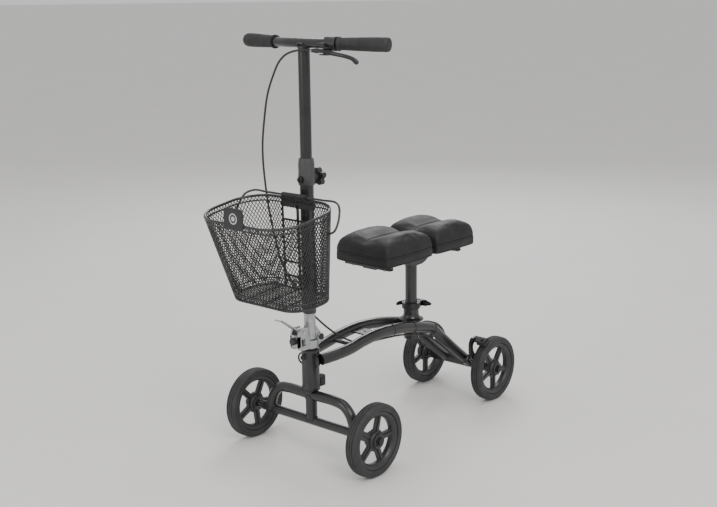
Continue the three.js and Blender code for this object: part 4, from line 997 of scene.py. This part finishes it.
def in_window(p):
    return p[0] < 40 and 4 < abs(p[1]) < 46 and (595 < p[2] < 621 or 459 < p[2] < 487)


basket = Build()
basket.tube(level(1.0, grow=-3.3), 3.3, 14, closed=True)
basket.tube(level(0.945, grow=-2.2), 1.9, 10, closed=True)
basket.tube(level(0.0, grow=-2.9), 2.9, 12, closed=True)
basket.tube(level(0.075, grow=-2.1), 1.8, 10, closed=True)
mesh_wires = Build()
COUNT, LEAN, THIN = 96, 0.17, 1.05
for way, grow in ((1, -2.9), (-1, -1.2)):
    for k in range(COUNT):
        run = []
        for v in np.linspace(0.0, 0.985, 22):
            p = wall(k / COUNT + way * LEAN * v, v, grow)
            if in_window(p):
                if len(run) > 1:
                    mesh_wires.tube(run, THIN, 6)
                run = []
            else:
                run.append(p)
        if len(run) > 1:
            mesh_wires.tube(run, THIN, 6)
# The floor's mesh, diagonal as on the walls, on its own sloping plane.
edge = np.array([around(BASE, u, -2.6) for u in np.linspace(0, 1, 240, endpoint=False)])


def floor_runs(angle, lift, pitch=7.5):
    c, s = math.cos(angle), math.sin(angle)
    centre = edge.mean(0)
    q = (edge - centre) @ np.array([[c, -s, 0], [s, c, 0], [0, 0, 1.0]])
    for off in np.arange(-140, 141, pitch):
        hits = []
        for a, b in zip(q, np.roll(q, -1, 0)):
            if (a[1] - off) * (b[1] - off) < 0:
                t = (off - a[1]) / (b[1] - a[1])
                hits.append(a[0] + t * (b[0] - a[0]))
        if len(hits) == 2:
            for_x = np.linspace(min(hits), max(hits), 5)
            run = np.array([[fx, off, 0] for fx in for_x]) @ np.array(
                [[c, s, 0], [-s, c, 0], [0, 0, 1.0]])
            run += [centre[0], centre[1], 0]
            share = (run[:, 0] - BASE["back"]) / (BASE["front"] - BASE["back"])
            run[:, 2] = BASE["z_back"] + share * (BASE["z_front"] - BASE["z_back"]) + lift
            yield run


for angle, lift in ((math.pi / 4, -0.5), (-math.pi / 4, 0.9)):
    for run in floor_runs(angle, lift):
        mesh_wires.tube(run, THIN, 6)
for y in (-60, 0, 60):
    basket.tube([(x, y, BASE["z_back"] + (x - 27) / 133 * -13 + 1.8)
        for x in (28.5, 60, 100, 130, 158.5)], 2.0, 10)
mesh_wires.done("basket_wire_mesh", "carrier_basket", WIRE, angle=60)

back = Build()


def back_strip(y0, y1, z0, z1, holes=()):
    back.plate([(y0, z0), (y1, z0), (y1, z1), (y0, z1)], 27.2, 29.0, "yz", holes)


back_strip(-52, -46, 427, 644)
back_strip(46, 52, 427, 644)
back_strip(-4, 4, 427, 644)
for z in (456, 490, 592):
    back_strip(-46, 46, z - 2.6, z + 2.6)
back_strip(-46, 46, 622.5, 643)
back.verts = [v + np.stack([(v[:, 2] - 427) * 5 / 218 + 0.2, 0 * v[:, 0], 0 * v[:, 0]], 1)
    for v in back.verts]
hook = rounded([(17.6, 624.5), (17.6, 643.8), (33, 643.8), (33, 627), (30.4, 627), (30.4, 641.4),
    (19.5, 641.4), (19.5, 624.5)], 1.4)
for s in (1, -1):
    low, high = sorted((s * 15, s * 39))
    back.plate(hook, low, high, "xz")
back.done("basket_back_frame", "carrier_basket", WIRE, bevel=0.4)
basket.done("basket_rim_and_rings", "carrier_basket", WIRE, "basket", angle=60)

plate = rounded([(-31, 606), (31, 606), (31, 654), (-31, 654)], 12, 6)
badge = Build().plate(plate, 234.6, 236.4, "yz")
badge.plate(rounded([(-27.5, 609.5), (27.5, 609.5), (27.5, 650.5), (-27.5, 650.5)], 9, 6), 236.2,
    237.0, "yz")
for s in (1, -1):
    badge.lathe([(0, 233.2), (2.6, 233.2), (2.6, 234.8), (0, 234.8)], (0, s * 20, 614), "x", 20)
badge.done("badge_plate", "carrier_basket", PLASTIC, "basket_badge", bevel=0.4)
RING = (0, 0, 630)
disc = Build().lathe([(9.6, 236.8), (12.4, 236.8), (12.4, 237.3), (9.6, 237.3), (9.6, 236.8)],
    RING, "x", 56)
disc.lathe([(0, 236.8), (5.4, 236.8), (5.4, 237.3), (0, 237.3)], RING, "x", 48)
disc.done("badge_ring", "carrier_basket", BADGE_LIGHT)

leg = [(88, 146, 592), (88, 153, 592), (84, 161, 597), (70, 161, 617), (56, 152, 643),
    (45, 132, 653), (43, 90, 653), (43, 40, 653)]
bail = Build().tube(curve(leg + mirror(leg), 200), 2.6, 16, ends="round")
bail.done("basket_handle_wire", "basket_handle", WIRE, "basket_bail")
profile = [(2.7, -38), (5.6, -38), (6.2, -36.8)]
for k in range(15):
    y = -34 + k * 4.7
    profile += [(5.7, y), (6.3, y + 0.8), (6.3, y + 3), (5.7, y + 3.8)]
profile += [(6.2, 36.8), (5.6, 38), (2.7, 38), (2.7, -38)]
Build().lathe(profile, (43, 0, 653), "y", 32).done("basket_handle_grip", "basket_handle", RUBBER)

# --- rear brake

# The brake arm's pivot.
BX, BZ = -552, 126
bracket = Build()
outline = [(-WHEELBASE - 6, AXLE_Z + 18), (-WHEELBASE + 14, AXLE_Z + 26), (BX - 2, BZ + 9),
    (BX + 8, BZ + 6), (BX + 9, BZ - 3), (BX + 2, BZ - 10), (-WHEELBASE + 20, AXLE_Z - 2),
    (-WHEELBASE + 8, AXLE_Z - 10), (-WHEELBASE - 10, AXLE_Z - 4), (-WHEELBASE - 12, AXLE_Z + 10)]
bracket.plate(rounded(outline, 6), 78, 82, "xz", [hole(BX, BZ, 4.3, 0.3, 18)])
ferrule = curve([(-538.4, 76, 120.5), (-550, 76, 131)], 6)
bracket.tube(ferrule, [4.2, 4.2, 5, 5, 4.2, 4.0], 24)
bracket.done("brake_bracket_plate", "main_frame", PAINT, "brake_bracket", bevel=0.6)
arm = Build()
left = curve([(BX - 8, 0, BZ - 4), (BX, 0, BZ - 8.5), (BX + 8, 0, BZ - 2), (BX + 16, 0, BZ + 20),
    (BX + 15, 0, BZ + 44), (BX + 6, 0, BZ + 57), (BX - 10, 0, BZ + 57), (BX - 24, 0, BZ + 54)], 40)
right = curve([(BX - 22, 0, BZ + 46), (BX - 6, 0, BZ + 47.5), (BX + 4, 0, BZ + 40),
    (BX + 4.5, 0, BZ + 26), (BX - 8, 0, BZ + 5)], 30)
shape = [(p[0], p[2]) for p in left] + [(p[0], p[2]) for p in right]
arm.plate(shape, 84, 92, "xz")
arm.lathe([(0, 75.4), (3.4, 75.4), (4, 76), (4, 92), (6.6, 92), (6.6, 94.4), (5.8, 95), (0, 95)],
    (BX, 0, BZ), "y", 28)
SHOE_ANGLE = 62
tilt = math.radians(90 - SHOE_ANGLE)
c, s = math.cos(tilt), math.sin(tilt)
shoe = Build()
shoe.plate(rounded([(-13, 92.1), (13, 92.1), (13, 99.9), (-13, 99.9)], 2), 102, 129, "xz")
bridge = Build()
bridge.plate(rounded([(-11, 98.9), (11, 98.9), (11, 103.9), (-11, 103.9)], 1.5), 86, 126, "xz")
bridge.hexagon((0, 0, 103.6), 8, 0, 4, "z")
bridge.verts[-1] = bridge.verts[-1] + np.array([0, 114, 0])
turn = np.array([[c, 0, s], [0, 1, 0], [-s, 0, c]])
for piece in (shoe, bridge):
    piece.verts = [v @ turn.T + np.array([-WHEELBASE, 0, AXLE_Z]) for v in piece.verts]
shoe.done("brake_shoe", "wheel_brake", RUBBER, bevel=1.0)
arm.add(np.vstack(bridge.verts), bridge.faces)
arm.done("brake_arm_casting", "wheel_brake", PAINT, "brake_arm", bevel=0.9)
coil = [(BX + 6.4 * math.cos(a), 95.6 + a * 0.34, BZ + 6.4 * math.sin(a))
    for a in np.linspace(0, 6 * math.pi, 70)]
coil = [(BX + 13, 95.6, BZ - 9)] + coil + [(BX - 12, 102.2, BZ + 11)]
Build().tube(coil, 0.85, 8).done("brake_return_spring", "main_frame", STEEL)

# --- brake cable

CABLE_RUNS = {
    "upper": [(8, 33, 984), (14, 14, 985), (20, -8, 983), (22, -36, 974), (21, -60, 956), (20, -80, 926),
              (20, -101, 880), (20, -118, 799), (20, -123, 754), (20, -122, 709), (20, -115, 649),
              (19, -108, 604), (17, -98, 556), (13, -90, 511), (8, -84, 482)],
    "middle": [(8, -84, 482), (0, -74, 450), (-12, -56, 415), (-24, -38, 380), (-34, -28, 352)],
    "lower": [(-34, -28, 352), (-54, -23, 329), (-77, -17, 306), (-100, -11, 286), (-124, -5, 269),
              (-148, 2, 255)],
    "frame": [(-148, 2, 255), (-170, 11, 247), (-200, 23, 246), (-235, 36, 248), (-290, 40, 243.5),
              (-345, 40, 232.5), (-393, 40, 219.5), (-422, 40, 206), (-452, 42, 185), (-490, 50, 152),
              (-512, 64, 127), (-526, 73, 115), (-537.5, 76, 119.6)],
}
ACROSS = {"upper": ("handles", "tiller"), "middle": ("tiller", "steering_fork"),
    "lower": ("steering_fork", "main_frame")}
whole = curve(sum([CABLE_RUNS[w] if w == "upper" else CABLE_RUNS[w][1:] for w in CABLE_RUNS], []),
    900)
for word, points in CABLE_RUNS.items():
    first = int(np.argmin(np.linalg.norm(whole - points[0], axis=1)))
    last = int(np.argmin(np.linalg.norm(whole - points[-1], axis=1)))
    run = whole[first:last + 1:3]
    if not np.allclose(run[-1], whole[last]):
        run = np.vstack([run, whole[last]])
    pair = ACROSS.get(word)
    piece = Build().tube(run, 2.5, 16).done(f"brake_cable_{word}_housing", None if pair
        else "main_frame", CABLE, f"brake_cable_{word}")
    if pair:
        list(pair)
        row(points[0])
        row(points[-1])
        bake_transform(piece)
Build().lathe([(2.6, 27), (3.2, 26.6), (3.6, 27.4), (3.6, 33.6), (2.6, 34), (2.6, 27)],
    (8, 0, 984), "y", 24).done("cable_end_ferrule", "handles", STEEL)
wire = curve([(-549, 76, 130), (-556, 76.5, 138), (-561, 79, 152), (-562, 83, 164),
    (-561, 86, 173)], 24)
inner_wire = Build().tube(wire, 0.8, 8).done("brake_inner_wire", None, STEEL)
row((-549, 76, 130))
row((-561, 86, 170))
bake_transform(inner_wire)
ties = Build()
for x in (-262, -345, -430):
    rail = rails[1]
    i = int(np.argmin(np.abs(rail[:, 0] - x)))
    centre, ahead = rail[i], rail[i + 1] - rail[i - 1]
    ahead /= np.linalg.norm(ahead)
    down = np.array([0, 0, -1.0]) - np.dot([0, 0, -1.0], ahead) * ahead
    down /= np.linalg.norm(down)
    over = np.cross(ahead, down)
    loop = []
    for a in np.linspace(0, math.tau, 72, endpoint=False):
        r = 14.9 + 5.4 * max(0.0, math.cos(a)) ** 9
        loop.append(centre + r * (math.cos(a) * down + math.sin(a) * over))
    ties.tube(loop, 1.0, 10, closed=True, oval=(0.75, 1.9, tuple(ahead)))
ties.done("cable_ties", "main_frame", PLASTIC, angle=50)

# --- end

for name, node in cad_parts.items():
    if not node.hide_render:
        raise RuntimeError(f"{name} is still shown as its plain solid")
